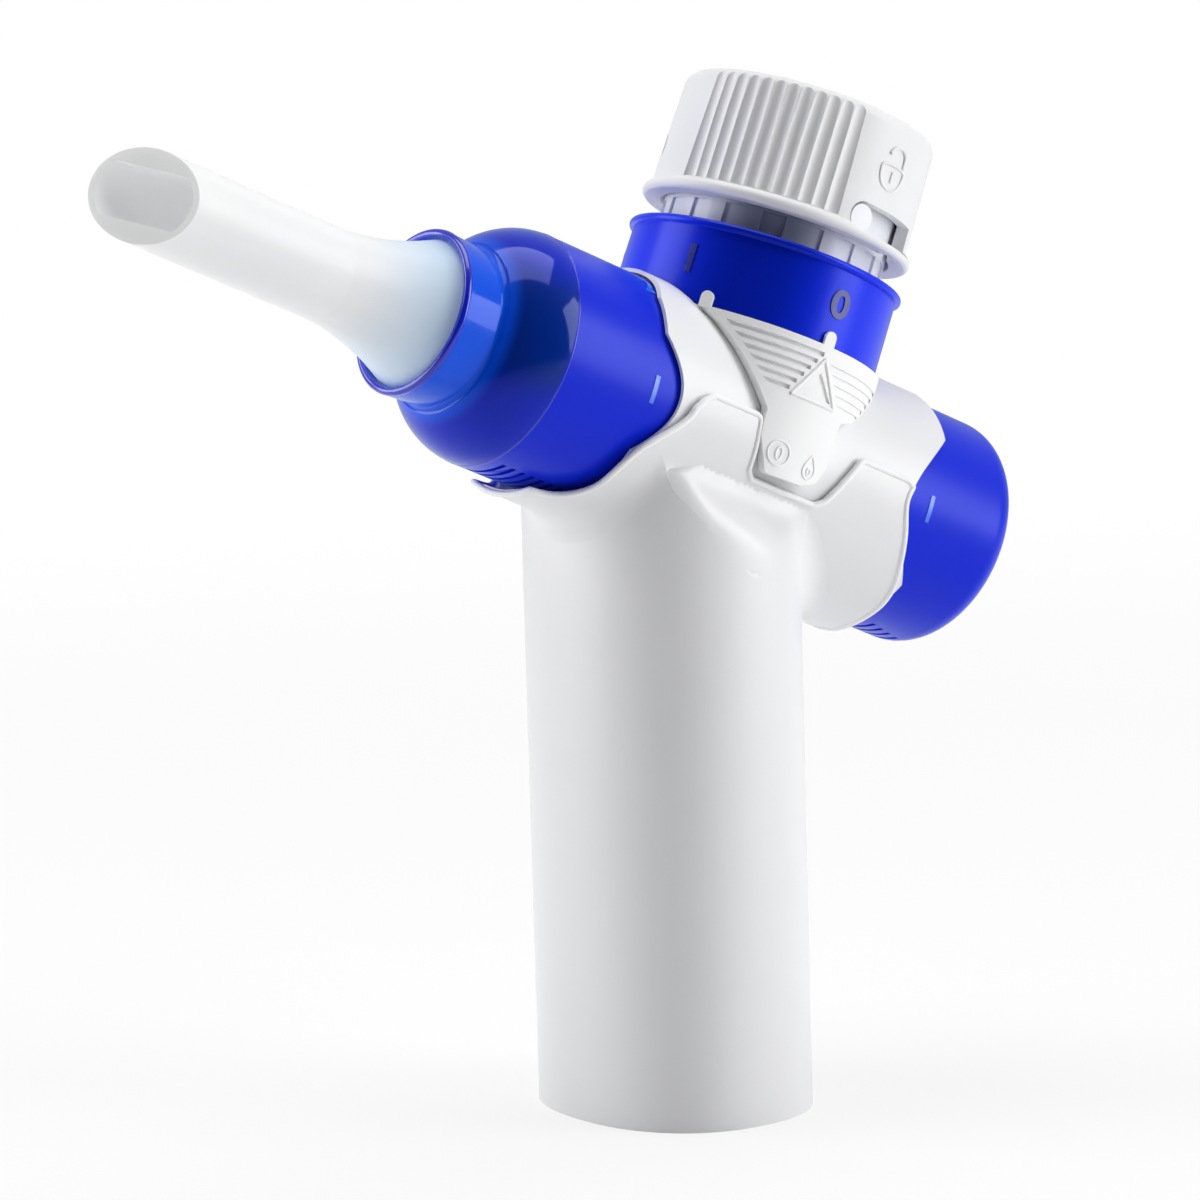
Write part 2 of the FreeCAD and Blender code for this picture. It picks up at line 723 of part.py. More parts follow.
def mouthpiece():
    taper = (SOCKET_RIM_R - SOCKET_R + 0.1) / (DIAL_WALL_FRONT - SOCKET_RIM)
    fit = SOCKET_R - SOCKET_WALL - 0.1 - RUN
    back = DIAL_WALL_FRONT - 0.4
    rim = MOUTH_FLARE_START
    rim_r = fit + taper * (DIAL_WALL_FRONT - rim)
    outer = turned_x([
        (back, 0),
        (back, fit),
        (rim, rim_r),
        (rim - 7.2, 10.3, MOUTH_FLARE_END, MOUTH_R),
        (MOUTH_TIP - 12, MOUTH_R),
        (MOUTH_TIP - 12, 0),
    ])
    cavity = turned_x([
        (back + 1, 0),
        (back + 1, fit - MOUTH_WALL),
        (rim, rim_r - MOUTH_WALL),
        (rim - 6.6, 9.0, MOUTH_FLARE_END + 2, MOUTH_BORE_R),
        (MOUTH_FLARE_END + 2, 0),
    ])
    bore = rod_x(MOUTH_BORE_R, MOUTH_TIP - 20, MOUTH_FLARE_END + 3)
    flat = Part.makeBox(80, 40, 2 * MOUTH_BORE_HALF, V(MOUTH_TIP - 20, -20, -MOUTH_BORE_HALF))
    body = outer.cut(cavity).cut(bore.common(flat))
    reach = 20
    tip = polygon([
        V(MOUTH_TIP - MOUTH_SLOPE * reach, reach, -20),
        V(MOUTH_TIP + MOUTH_SLOPE * reach, -reach, -20),
        V(MOUTH_TIP - 60, -reach, -20),
        V(MOUTH_TIP - 60, reach, -20),
    ])
    return body.cut(Part.Face(tip).extrude(V(0, 0, 40))).removeSplitter()


def rear_dial():
    bore = SPIGOT_R + RUN
    inside = CUP_END - CUP_WALL
    corner = CUP_CORNER * (1 - math.sqrt(0.5))
    face = DIAL_R - CUP_CORNER
    ball = (face * face + CUP_DOME * CUP_DOME) / (2 * CUP_DOME)
    lean = math.asin(face / ball) / 2
    top = CUP_END + CUP_DOME
    body = turned_x([
        (REAR_WEB + SEAT, bore),
        (REAR_WEB + SEAT, DIAL_R),
        (CUP_END - CUP_CORNER, DIAL_R),
        (CUP_END - corner, DIAL_R - corner, CUP_END, DIAL_R - CUP_CORNER),
        (top - ball + ball * math.cos(lean), ball * math.sin(lean), top, 0),
        (POST_START, 0),
        (POST_START, POST_R),
        (inside, POST_R),
        (inside, DIAL_R - CUP_CORNER),
        (inside - 2.4, bore),
    ])
    body = body.fuse(snap_bead(REAR_BEAD))
    for step in range(SKIRT_SLOTS):
        turn = step * 360 / SKIRT_SLOTS
        slot = sector_x(DIAL_R + 1, bore - 1, REAR_WEB, SKIRT_SLOT_END, turn, SKIRT_SLOT_ANGLE)
        body = body.cut(slot)
    for step in range(REAR_GROOVES):
        middle = REAR_GROOVE_START + step * REAR_GROOVE_PITCH
        body = body.cut(thumb_groove(middle, REAR_GROOVE_ANGLE - step * REAR_GROOVE_TAPER))
    return body.removeSplitter()


def exhale_seat():
    start = VALVE_SEAT_START
    end = start + VALVE_SEAT_WALL
    seat = rod_x(BORE_R - SEAT, start, end).cut(rod_x(VALVE_OPENING_R, start, end))
    hub = rod_x(STEM_R + 1.6, start - 4, end - 0.4)
    seat = seat.fuse(hub)
    for step in range(3):
        spoke = Part.makeBox(VALVE_SEAT_WALL - 0.8, 1.6, VALVE_OPENING_R + 1, V(start, -0.8, 0))
        spoke.rotate(V(0, 0, 0), AXIS_X, step * 120)
        seat = seat.fuse(spoke)
    return seat.cut(rod_x(STEM_R + RUN, start - 5, end + 1)).removeSplitter()


def exhale_disc():
    start = VALVE_SEAT_START + VALVE_SEAT_WALL + SEAT
    head = rod_x(DISC_R, start, start + DISC_WALL)
    cup = rod_x(SPRING_R - SPRING_WIRE / 2 - 0.3, start + DISC_WALL, start + DISC_WALL + 1.5)
    stem = rod_x(STEM_R, VALVE_SEAT_START - 5, start)
    return head.fuse(cup).fuse(stem).removeSplitter()


def exhale_spring():
    start = VALVE_SEAT_START + VALVE_SEAT_WALL + SEAT + DISC_WALL + SPRING_WIRE / 2 + 0.05
    end = CARRIAGE_START - SPRING_WIRE / 2 - 0.05
    helix = Part.makeHelix((end - start) / SPRING_TURNS, end - start, SPRING_R)
    corners = []
    for corner in range(6):
        angle = math.radians(60 * corner)
        out = SPRING_WIRE / 2 * math.cos(angle)
        corners.append(V(SPRING_R + out, 0, SPRING_WIRE / 2 * math.sin(angle)))
    section = polygon(corners)
    wire = Part.Wire(helix).makePipeShell([section], True, True)
    wire.rotate(V(0, 0, 0), AXIS_Y, 90)
    wire.translate(V(start, 0, 0))
    return wire


def exhale_carriage():
    start = CARRIAGE_START
    plate = rod_x(BORE_R - 1.2, start, start + CARRIAGE_WALL)
    boss = rod_x(POST_R + 2.4, start, start + 6.5)
    body = plate.fuse(boss)
    for side in (0, 180):
        corner = V(start, -CARRIAGE_KEY / 2, BORE_R + KEYWAY_DEPTH - SEAT - CARRIAGE_KEY)
        key = Part.makeBox(CARRIAGE_WALL, CARRIAGE_KEY, CARRIAGE_KEY, corner)
        key.rotate(V(0, 0, 0), AXIS_X, side)
        body = body.fuse(key)
    for middle in (0, 180):
        body = body.cut(sector_x(13.6, 8.6, start - 1, start + 4, middle, 110))
    return body.cut(rod_x(POST_R + RUN, start - 1, start + 10)).removeSplitter()


def inhale_seat():
    top = NECK_FLOOR + 2.0
    plate = rod_z(NECK_BORE_R - SEAT, NECK_FLOOR, top)
    for step in range(6):
        plate = plate.cut(sector_z(12.4, 4.2, NECK_FLOOR - 1, top + 1, step * 60, 46))
    return plate.cut(rod_z(1.4, NECK_FLOOR - 1, top + 1)).removeSplitter()


def inhale_flap():
    top = NECK_FLOOR - SEAT
    flap = rod_z(NECK_THROAT_R - 0.7, top - FLAP_WALL, top)
    stem = rod_z(1.2, top, NECK_FLOOR + 2.0 + 1.2)
    head = rod_z(2.4, NECK_FLOOR + 2.0 + SEAT, NECK_FLOOR + 2.0 + 1.3)
    return flap.fuse(stem).fuse(head).removeSplitter()


def inlet_filter():
    bottom = NECK_FLOOR + 2.0 + SEAT
    return tube_z(NECK_BORE_R - GAP, 3.0, bottom, bottom + FILTER_WALL)


def top_seal():
    steps = seal_ring(NECK_SEAL, NECK_R - SEAL_WIRE + 0.02)
    return turned_z([(radius, height) for height, radius in steps])


def top_dial():
    bottom = TRENCH_FLOOR + GAP
    sleeve = NECK_R + RUN
    bead = TOP_DIAL_TOP - 1.4
    body = turned_z([
        (sleeve, bottom),
        (TOP_DIAL_R, bottom),
        (TOP_DIAL_R - 0.15, bead),
        (TOP_DIAL_BEAD_R, bead + 0.15),
        (TOP_DIAL_BEAD_R + 0.2, bead + 0.7, TOP_DIAL_BEAD_R - 0.3, TOP_DIAL_TOP),
        (TOP_DIAL_R - TOP_DIAL_WALL, TOP_DIAL_TOP),
        (TOP_DIAL_R - TOP_DIAL_WALL, bottom + 1.6),
        (sleeve + SLEEVE_WALL, bottom + 1.6),
        (sleeve + SLEEVE_WALL, TOP_DIAL_TOP - 1),
        (sleeve, TOP_DIAL_TOP - 1),
    ])
    for middle in WINDOW_PLACES:
        azimuth = middle - WINDOW_ANGLE / 2
        outer = sleeve + SLEEVE_WALL + 0.2
        opening = sector_z(outer, NECK_R - 1, WINDOW_BOTTOM, WINDOW_TOP, azimuth, SHUTTER_ANGLE)
        body = body.cut(opening)
    return body.removeSplitter()


def cap_shell():
    roof = CAP_TOP - CAP_ROOF
    inner = CAP_R - CAP_WALL
    edge = 2.2
    return turned_z([
        (inner, CAP_BOTTOM),
        (FLANGE_R - 0.6, CAP_BOTTOM),
        (FLANGE_R + 0.1, CAP_BOTTOM + FLANGE_HEIGHT / 2, FLANGE_R - 0.6, CAP_BOTTOM + FLANGE_HEIGHT),
        (CAP_R, CAP_BOTTOM + FLANGE_HEIGHT + 0.3),
        (CAP_TOP_R, CAP_TOP - edge),
        (CAP_TOP_R - edge * 0.29, CAP_TOP - edge * 0.29, CAP_TOP_R - edge, CAP_TOP),
        (0, CAP_TOP),
        (0, roof),
        (NECK_BORE_R - 0.6, roof),
        (NECK_BORE_R - 0.6, NECK_TOP + 1.9),
        (NECK_R + 0.1, NECK_TOP + 1.9),
        (NECK_R + 0.1, roof),
        (inner, roof),
    ])


def cap():
    body = cap_shell()
    pitch = (FLUTE_END - FLUTE_START) / FLUTE_COUNT
    base = CAP_BOTTOM + FLANGE_HEIGHT + 0.5
    flutes = []
    for turn in CAP_FOLD:
        for step in range(FLUTE_COUNT):
            azimuth = FLUTE_START + (step + 0.5) * pitch + turn
            centre = CAP_R - 0.25 + FLUTE_R - FLUTE_DEPTH
            flute = Part.makeCylinder(FLUTE_R, CAP_TOP - base, V(-centre, 0, base), AXIS_Z)
            flute.rotate(V(0, 0, 0), AXIS_Z, azimuth)
            flutes.append(flute)
    body = body.cut(Part.makeCompound(flutes))
    hole_r = PEG_R + PEG_CLEARANCE
    low = PEG_HEIGHT - hole_r + 0.3
    high = PEG_HEIGHT + hole_r
    sweep = CAP_TURN + SLOT_SPARE
    for turn in CAP_FOLD:
        azimuth = PEG_AZIMUTH + turn
        hole = Part.makeCylinder(hole_r, 8, V(-CAP_R + 4, 0, PEG_HEIGHT), V(-1, 0, 0))
        hole.rotate(V(0, 0, 0), AXIS_Z, azimuth)
        body = body.cut(hole)
        body = body.cut(sector_z(FLANGE_R + 2, NECK_R - 1, low, high, azimuth + sweep / 2, sweep))
        middle = azimuth + CAP_TURN
        entry = sector_z(CAP_R - 0.6, NECK_R - 1, CAP_BOTTOM - 1, PEG_HEIGHT, middle, ENTRY_ANGLE)
        body = body.cut(entry)
    dimple = Part.makeCylinder(DIMPLE_R, CAP_WALL, V(DIMPLE_FLOOR - CAP_R, 0, DIMPLE_HEIGHT), V(-1, 0, 0))
    dimple.rotate(V(0, 0, 0), AXIS_Z, DIMPLE_AZIMUTH)
    return body.cut(dimple).removeSplitter()


def cap_seal():
    return tube_z(NECK_R, NECK_BORE_R - 0.5, NECK_TOP + SEAT, NECK_TOP + 1.8)


HEAD_PIECES = {
    "index_plate_left": lambda: index_plate(-1),
    "index_plate_right": lambda: index_plate(1),
    "front_dial": front_dial,
    "front_port_disc": front_port_disc,
    "front_seal": lambda: seal_x(FRONT_SEAL),
    "mouthpiece": mouthpiece,
    "rear_dial": rear_dial,
    "rear_seal": lambda: seal_x(REAR_SEAL),
    "exhale_seat": exhale_seat,
    "exhale_disc": exhale_disc,
    "exhale_spring": exhale_spring,
    "exhale_carriage": exhale_carriage,
    "inhale_seat": inhale_seat,
    "inhale_flap": inhale_flap,
    "inlet_filter": inlet_filter,
    "top_dial": top_dial,
    "top_seal": top_seal,
    "cap": cap,
    "cap_seal": cap_seal,
}

os.makedirs("parts", exist_ok=True)
pieces = {
    "handle_shell": handle_shell(),
    "base_cap": base_cap(),
    "cradle_screws": cradle_screws(),
    "cross_tube": cross_tube(),
}
for name, make in HEAD_PIECES.items():
    pieces[name] = place_head(make())
for name, shape in pieces.items():
    shape.exportStep("parts/" + name + ".step")
    print(name, "solids", len(shape.Solids), "volume", round(shape.Volume, 1), "valid", shape.isValid())
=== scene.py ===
# %% [markdown]
# # Breathing trainer
# A hand-held trainer for the breathing muscles. An oval white grip carries a tilted cross tube.
# A frosted mouthpiece sits in a blue dial at the front, a second blue dial closes the rear, and a
# white neck on top wears a third dial and a locking cap. The solids arrive finished from the CAD
# file, so this lesson gives them their plastics, adds the moulded marks, and lights the studio.

# %% Load the solids
import bpy
import json
import math
from mathutils import Matrix, Vector


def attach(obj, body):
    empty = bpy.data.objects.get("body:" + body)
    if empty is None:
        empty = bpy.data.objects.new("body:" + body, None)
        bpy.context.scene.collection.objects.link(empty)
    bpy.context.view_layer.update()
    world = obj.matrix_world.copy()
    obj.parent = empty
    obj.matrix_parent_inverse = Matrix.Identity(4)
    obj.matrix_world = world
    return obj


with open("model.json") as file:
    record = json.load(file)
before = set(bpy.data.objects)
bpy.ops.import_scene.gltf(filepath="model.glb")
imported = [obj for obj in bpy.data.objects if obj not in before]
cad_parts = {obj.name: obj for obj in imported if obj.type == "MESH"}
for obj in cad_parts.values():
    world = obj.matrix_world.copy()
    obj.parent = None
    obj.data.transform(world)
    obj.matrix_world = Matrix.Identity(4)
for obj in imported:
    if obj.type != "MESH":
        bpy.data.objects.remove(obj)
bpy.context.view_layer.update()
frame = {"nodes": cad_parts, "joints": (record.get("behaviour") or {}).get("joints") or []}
nodes = frame["nodes"]

# %% [markdown]
# The head of the trainer leans. Its two axes are the axes of the dials' joints, so a matrix built
# from them turns plain head coordinates (along the tube, away from the viewer, up the neck) into
# places on the object. Everything that sits on the head is drawn with this matrix.

# %% Head coordinates
MM = 0.001
joints = {joint["name"]: joint for joint in frame["joints"]}
TUBE_AXIS = Vector(joints["rear_dial_turn"]["axis"])
NECK_AXIS = Vector(joints["top_dial_turn"]["axis"])
HEAD_CENTRE = Vector(joints["rear_dial_turn"]["pos_m"])
HEAD = Matrix.Translation(HEAD_CENTRE) @ Matrix((TUBE_AXIS, (0, 1, 0), NECK_AXIS)).transposed().to_4x4()
TILT = math.atan2(NECK_AXIS.x, NECK_AXIS.z)
print("tilt of the head:", round(math.degrees(TILT), 2), "degrees")

# %% [markdown]
# ## Camera
# The camera stands far off with a long lens, a little above the grip's middle and to the left of
# the numbered side. Its place and aim come from matching the round rims of the dials. A camera
# looks along its own -Z, so the matrix columns are right, up and back.

# %% Place the camera
CAMERA_PLACE = Vector((-0.5276, -0.6866, 0.2149))
CAMERA_RIGHT = Vector((0.79769576, -0.60239466, -0.02832236))
CAMERA_BACK = Vector((-0.59318703, -0.79223379, 0.14315996))
camera_up = CAMERA_BACK.cross(CAMERA_RIGHT)
bpy.ops.object.select_all(action="DESELECT")
bpy.ops.object.camera_add()
camera = bpy.context.object
turn = Matrix((CAMERA_RIGHT, camera_up, CAMERA_BACK)).transposed().to_4x4()
camera.matrix_world = Matrix.Translation(CAMERA_PLACE) @ turn
camera.data.sensor_width = 36
camera.data.lens = 150.15
camera.data.clip_start = 0.05
camera.data.clip_end = 20
bpy.context.scene.camera = camera
print("camera to grip:", round(CAMERA_PLACE.length, 3), "m")

# %% [markdown]
# ## Shader maths
# A pattern in a material is a small sum, and sums are easier to read as Python than as boxes and
# wires. This class wraps one output socket and adds a Math node for each operator. Its twin makes
# any other node from a type, its settings and what goes into it.

# %% A socket that does maths
class Wire:
    def __init__(self, finish, socket):
        self.finish = finish
        self.socket = socket

    def maths(self, operation, first, second=None):
        return self.finish.node("ShaderNodeMath", {"operation": operation}, {0: first, 1: second})

    def __add__(self, other):
        return self.maths("ADD", self, other)

    __radd__ = __add__

    def __mul__(self, other):
        return self.maths("MULTIPLY", self, other)

    __rmul__ = __mul__

    def __sub__(self, other):
        return self.maths("SUBTRACT", self, other)

    def __rsub__(self, other):
        return self.maths("SUBTRACT", other, self)

    def below(self, limit, blur=0.0004):
        """1 where the value is under limit, 0 above it, with a soft edge."""
        settings = {"interpolation_type": "SMOOTHSTEP"}
        sockets = {0: self, 1: limit - blur, 2: limit + blur, 3: 1.0, 4: 0.0}
        return self.finish.node("ShaderNodeMapRange", settings, sockets)


class Finish:
    """A material with one Principled shader, whose varying sockets are fed by wires."""

    def __init__(self, name, **sockets):
        self.material = bpy.data.materials.new(name)
        self.material.use_nodes = True
        self.tree = self.material.node_tree
        self.shader = self.tree.nodes["Principled BSDF"]
        for key, value in sockets.items():
            self.set(self.shader.inputs[key.replace("_", " ")], value)

    def set(self, socket, value):
        if isinstance(value, Wire):
            self.tree.links.new(value.socket, socket)
        elif value is not None:
            socket.default_value = value

    def node(self, kind, settings=None, sockets=None, out=0):
        made = self.tree.nodes.new(kind)
        for key, value in (settings or {}).items():
            setattr(made, key, value)
        for key, value in (sockets or {}).items():
            self.set(made.inputs[key], value)
        return Wire(self, made.outputs[out])

    def feed(self, name, value):
        self.set(self.shader.inputs[name], value)

    def place(self):
        return self.node("ShaderNodeTexCoord", out="Object")

    def head_place(self):
        """Where a point is in head coordinates, as a vector."""
        sockets = {"Vector": self.place(), "Location": HEAD_CENTRE, "Rotation": (0, TILT, 0)}
        return self.node("ShaderNodeMapping", {"vector_type": "TEXTURE"}, sockets)

    def parts(self, vector):
        made = self.node("ShaderNodeSeparateXYZ", sockets={0: vector})
        outputs = made.socket.node.outputs
        return [Wire(self, outputs[i]) for i in range(3)]

    def facing(self, place, azimuth, half, blur):
        """1 on the side of the neck that looks towards an azimuth, in degrees, fading to 0 beside it."""
        back = {0: place[1] * -1.0, 1: place[0] * -1.0}
        turn = self.node("ShaderNodeMath", {"operation": "ARCTAN2"}, back)
        away = (turn - math.radians(azimuth)).maths("ABSOLUTE", turn - math.radians(azimuth))
        return away.below(math.radians(half), math.radians(blur))

    def noise(self, vector, scale, detail=3.0, roughness=0.5):
        sockets = {"Vector": vector, "Scale": scale, "Detail": detail, "Roughness": roughness}
        return self.node("ShaderNodeTexNoise", sockets=sockets)

    def blend(self, factor, first, second):
        """Mixes two colours."""
        settings = {"data_type": "RGBA"}
        sockets = {0: factor, 6: first, 7: second}
        return self.node("ShaderNodeMix", settings, sockets, out=2)

    def bump(self, height, strength, distance):
        sockets = {"Height": height, "Strength": strength, "Distance": distance}
        self.feed("Normal", self.node("ShaderNodeBump", sockets=sockets))


def dress(finish, *names):
    for name in names:
        mesh = nodes[name].data
        mesh.materials.clear()
        mesh.materials.append(finish.material)
    print(finish.material.name, "on", ", ".join(names))


# %% [markdown]
# ## White plastic
# The grip and the cross tube are one kind of moulded plastic with a quiet gloss. A real moulding is
# never one even white: the gloss wanders with the flow of the melt, and the skin has a faint
# orange-peel. Two noises, a broad one and a fine one, do both without showing a pattern.

# %% Glossy white
WHITE = (0.80, 0.81, 0.83, 1)
WHITE_WARM = (0.84, 0.84, 0.84, 1)
SHIELD_WHITE = (0.90, 0.91, 0.92, 1)
SHIELD_WARM = (0.93, 0.93, 0.93, 1)


def white_plastic(name, gloss, grain_scale, grain_depth, pale=WHITE, warm=WHITE_WARM):
    finish = Finish(name, IOR=1.5)
    place = finish.place()
    broad = finish.noise(place, 22.0)
    fine = finish.noise(place, grain_scale, detail=2.0)
    finish.feed("Base Color", finish.blend(broad, pale, warm))
    finish.feed("Roughness", gloss + 0.10 * broad + 0.05 * fine)
    finish.bump(fine, 0.25, grain_depth)
    return finish


gloss_white = white_plastic("white_gloss", 0.24, 900.0, 0.00004)
dress(gloss_white, "handle_shell", "base_cap")
satin_white = white_plastic("white_satin", 0.38, 1600.0, 0.00006)
dress(satin_white, "cap")
shield_white = white_plastic("white_shield", 0.38, 1600.0, 0.00006, SHIELD_WHITE, SHIELD_WARM)
dress(shield_white, "index_plate_left", "index_plate_right")
inner_white = white_plastic("inner_white", 0.45, 1200.0, 0.00003)
dress(inner_white, "front_port_disc", "exhale_seat", "exhale_carriage", "inhale_seat")

# %% [markdown]
# The cross tube is white like the grip, but its neck is thinner and paler, with a painted grey band
# of shade where the neck faces the dim camera side. The colour is mixed by height in head coordinates,
# so the change sits where the neck leaves the top dial. The painted shade is a band: its azimuth, half its
# width and its blur are in degrees.

# %% Cross tube
NECK_PALE = (0.86, 0.88, 0.92, 1)
NECK_SHADE = (0.22, 0.24, 0.33, 1)
NECK_SHADE_BAND = (50, 24, 16)
tube_white = white_plastic("white_tube", 0.24, 900.0, 0.00004)
tube_place = tube_white.parts(tube_white.head_place())
neck_mask = 1.0 - tube_place[2].below(30 * MM, 3 * MM)
tube_noise = tube_white.noise(tube_white.place(), 22.0)
tube_tint = tube_white.blend(tube_noise, WHITE, WHITE_WARM)
# Painted shade: a grey band on the side of the neck that faces the camera.
neck_tint = tube_white.blend(tube_white.facing(tube_place, *NECK_SHADE_BAND), NECK_PALE, NECK_SHADE)
tube_white.feed("Base Color", tube_white.blend(neck_mask, tube_tint, neck_tint))
dress(tube_white, "cross_tube")

# %% [markdown]
# ## Blue plastic
# The dials are clear plastic with a strong blue dye. The barrels have a satin skin for grip, while
# the nose in front of them is polished and mirrors the lamps in blue. The socket is painted a lighter
# blue, a painted glow of light shining through from the white mouthpiece. The nose is painted a darker
# blue, and navy across its middle, as painted shade of its dark hollow and of the dim camera side. The
# top dial is painted darker in a band that faces the viewer, a painted shade, with a lighter blue beside
# it.

# %% Blue dials
BLUE = (0.0005, 0.016, 0.70, 1)
BLUE_RING = (0.0005, 0.022, 0.85, 1)
BLUE_DEEP = (0.0003, 0.012, 0.42, 1)
SOCKET_GLOW_BLUE = (0.0005, 0.085, 0.78, 1)
NOSE_SHADE_BLUE = (0.0004, 0.014, 0.52, 1)
NOSE_SHADE_NAVY = (0.0003, 0.022, 0.26, 1)
SHINE_THROUGH = (0.30, 0.55, 1.0, 1)
BLUE_MIRROR = (0.42, 0.50, 1.0, 1)
RING_SHADE_BAND = (50, 26, 20)
NOSE_CREASE = -49.8 * MM
SOCKET_START = -59.2 * MM


def blue_plastic(name, plain, satin, polish):
    """Blue plastic: plain on a dial's barrel, with painted shade on the front dial's nose, darker and navy
    across its middle, and a painted glow on its socket, lighter where light shines through.
    """
    finish = Finish(name, IOR=1.5, Specular_IOR_Level=0.34, Sheen_Weight=0.35, Sheen_Roughness=0.35)
    finish.shader.inputs["Sheen Tint"].default_value = SHINE_THROUGH
    finish.shader.inputs["Specular Tint"].default_value = BLUE_MIRROR
    place = finish.head_place()
    along, away, up = finish.parts(place)
    cloud = finish.noise(place, 60.0, detail=4.0)
    grain = finish.noise(place, 1500.0, detail=2.0)
    nose = along.below(NOSE_CREASE, 0.15 * MM)
    socket = along.below(SOCKET_START, 1.0 * MM)
    body = finish.blend(0.3 * cloud, plain, BLUE_DEEP)
    # Painted shade: the nose is darker, and navy across its middle band, for its dark hollow and the dim
    # camera side.
    middle = up.below(12 * MM, 4 * MM) * (1.0 - up.below(-7 * MM, 4 * MM))
    body = finish.blend(nose, body, finish.blend(middle, NOSE_SHADE_BLUE, NOSE_SHADE_NAVY))
    # Painted light: the socket is lighter, a painted glow of light shining through from the mouthpiece.
    finish.feed("Base Color", finish.blend(socket, body, SOCKET_GLOW_BLUE))
    finish.feed("Roughness", satin + (polish - satin) * nose + 0.06 * cloud)
    finish.feed("Coat Weight", nose * 0.08)
    finish.shader.inputs["Coat Roughness"].default_value = 0.03
    finish.bump(grain * (1.0 - nose), 0.2, 0.00003)
    return finish


dial_blue = blue_plastic("blue_clear", BLUE, 0.26, 0.06)
dress(dial_blue, "front_dial", "rear_dial")
ring_blue = blue_plastic("blue_ring", BLUE_RING, 0.22, 0.06)
# Painted shade: the top dial is darker in a band facing the viewer, with lighter blue beside it.
ring_shade = ring_blue.facing(ring_blue.parts(ring_blue.head_place()), *RING_SHADE_BAND)
ring_blue.feed("Base Color", ring_blue.blend(ring_shade, BLUE_RING, BLUE_DEEP))
dress(ring_blue, "top_dial")

# %% [markdown]
# ## Frosted plastic
# The mouthpiece is milky, so light goes in, scatters and comes out elsewhere. A little subsurface
# and a rough transmission give that softness. The cone near the dial is painted in streaks of blue, a
# painted reflection of the dial's blue light, and a faint emission of the same colours paints a glow.

# %% Mouthpiece
FROST = (0.97, 0.975, 0.98, 1)
FROST_PAINTED_BLUE = (0.58, 0.78, 1.0, 1)
frosted = Finish("frosted_clear", IOR=1.45, Transmission_Weight=0.2, Subsurface_Weight=0.3)
frosted.shader.inputs["Subsurface Radius"].default_value = (1.0, 1.0, 1.0)
frosted.shader.inputs["Subsurface Scale"].default_value = 0.004
frost_place = frosted.head_place()
frost_along = frosted.parts(frost_place)[0]
cone = 1.0 - frost_along.below(-76 * MM, 10 * MM)
streak = frosted.noise(frost_place, 45.0, detail=4.0)
# Painted reflection: streaks of the dial's blue painted on the cone.
frosted_tint_and_glow = frosted.blend(cone * (0.35 + 1.0 * streak), FROST, FROST_PAINTED_BLUE)
frosted.feed("Base Color", frosted_tint_and_glow)
# Painted glow: a faint emission in the mouthpiece's own colours.
frosted.feed("Emission Color", frosted_tint_and_glow)
frosted.shader.inputs["Emission Strength"].default_value = 0.06
frosted.feed("Roughness", 0.34 + 0.12 * streak)
frosted.bump(frosted.noise(frost_place, 1200.0, detail=2.0), 0.2, 0.00003)
dress(frosted, "mouthpiece")

# %% [markdown]
# ## Small inner pieces
# Seals, flap, filter and spring hide inside, but they show when the cap or a dial is seen through,
# so each gets the finish of its real stuff: nitrile rubber, silicone, open foam and drawn wire.

# %% Rubber, silicone, foam and steel
rubber = Finish("black_rubber", IOR=1.5)
rubber_grain = rubber.noise(rubber.place(), 700.0)
rubber.feed("Base Color", rubber.blend(rubber_grain, (0.02, 0.02, 0.022, 1), (0.05, 0.05, 0.055, 1)))
rubber.feed("Roughness", 0.45 + 0.2 * rubber_grain)
dress(rubber, "front_seal", "rear_seal", "top_seal")

silicone = Finish("silicone", IOR=1.41, Transmission_Weight=0.3)
silicone_cloud = silicone.noise(silicone.place(), 120.0)
silicone.feed("Base Color", silicone.blend(silicone_cloud, (0.74, 0.78, 0.84, 1), (0.84, 0.87, 0.9, 1)))
silicone.feed("Roughness", 0.3 + 0.15 * silicone_cloud)
dress(silicone, "exhale_disc", "inhale_flap", "cap_seal")

foam = Finish("filter_foam", IOR=1.45)
foam_cells = foam.node("ShaderNodeTexVoronoi", sockets={"Vector": foam.place(), "Scale": 1100.0})
foam.feed("Base Color", foam.blend(foam_cells, (0.30, 0.32, 0.35, 1), (0.62, 0.64, 0.66, 1)))
foam.feed("Roughness", 0.85 + 0.1 * foam_cells)
foam.bump(foam_cells, 0.6, 0.0003)
dress(foam, "inlet_filter")

steel = Finish("drawn_steel", IOR=1.5, Metallic=1.0)
steel_lines = steel.noise(steel.head_place(), 900.0)
steel.feed("Base Color", steel.blend(steel_lines, (0.55, 0.56, 0.58, 1), (0.70, 0.70, 0.72, 1)))
steel.feed("Roughness", 0.22 + 0.18 * steel_lines)
dress(steel, "exhale_spring", "cradle_screws")

# %% [markdown]
# ## Moulded marks
# Numbers and small signs stand a little proud of the plastic, drawn by the same mould. Each mark is
# drawn flat, lying on the ground at its true size, and then wrapped onto the round surface that
# carries it: its width runs along the surface one way, its height the other, and its thickness
# points outwards. A wrapped mark needs a point every half millimetre, or its long straight edges
# would cut through the curve like a chord, so it is sliced into strips before it is bent.

# %% Slice and wrap
def alone(piece):
    """Makes a piece the only one that is selected."""
    bpy.ops.object.select_all(action="DESELECT")
    piece.select_set(True)
    bpy.context.view_layer.objects.active = piece


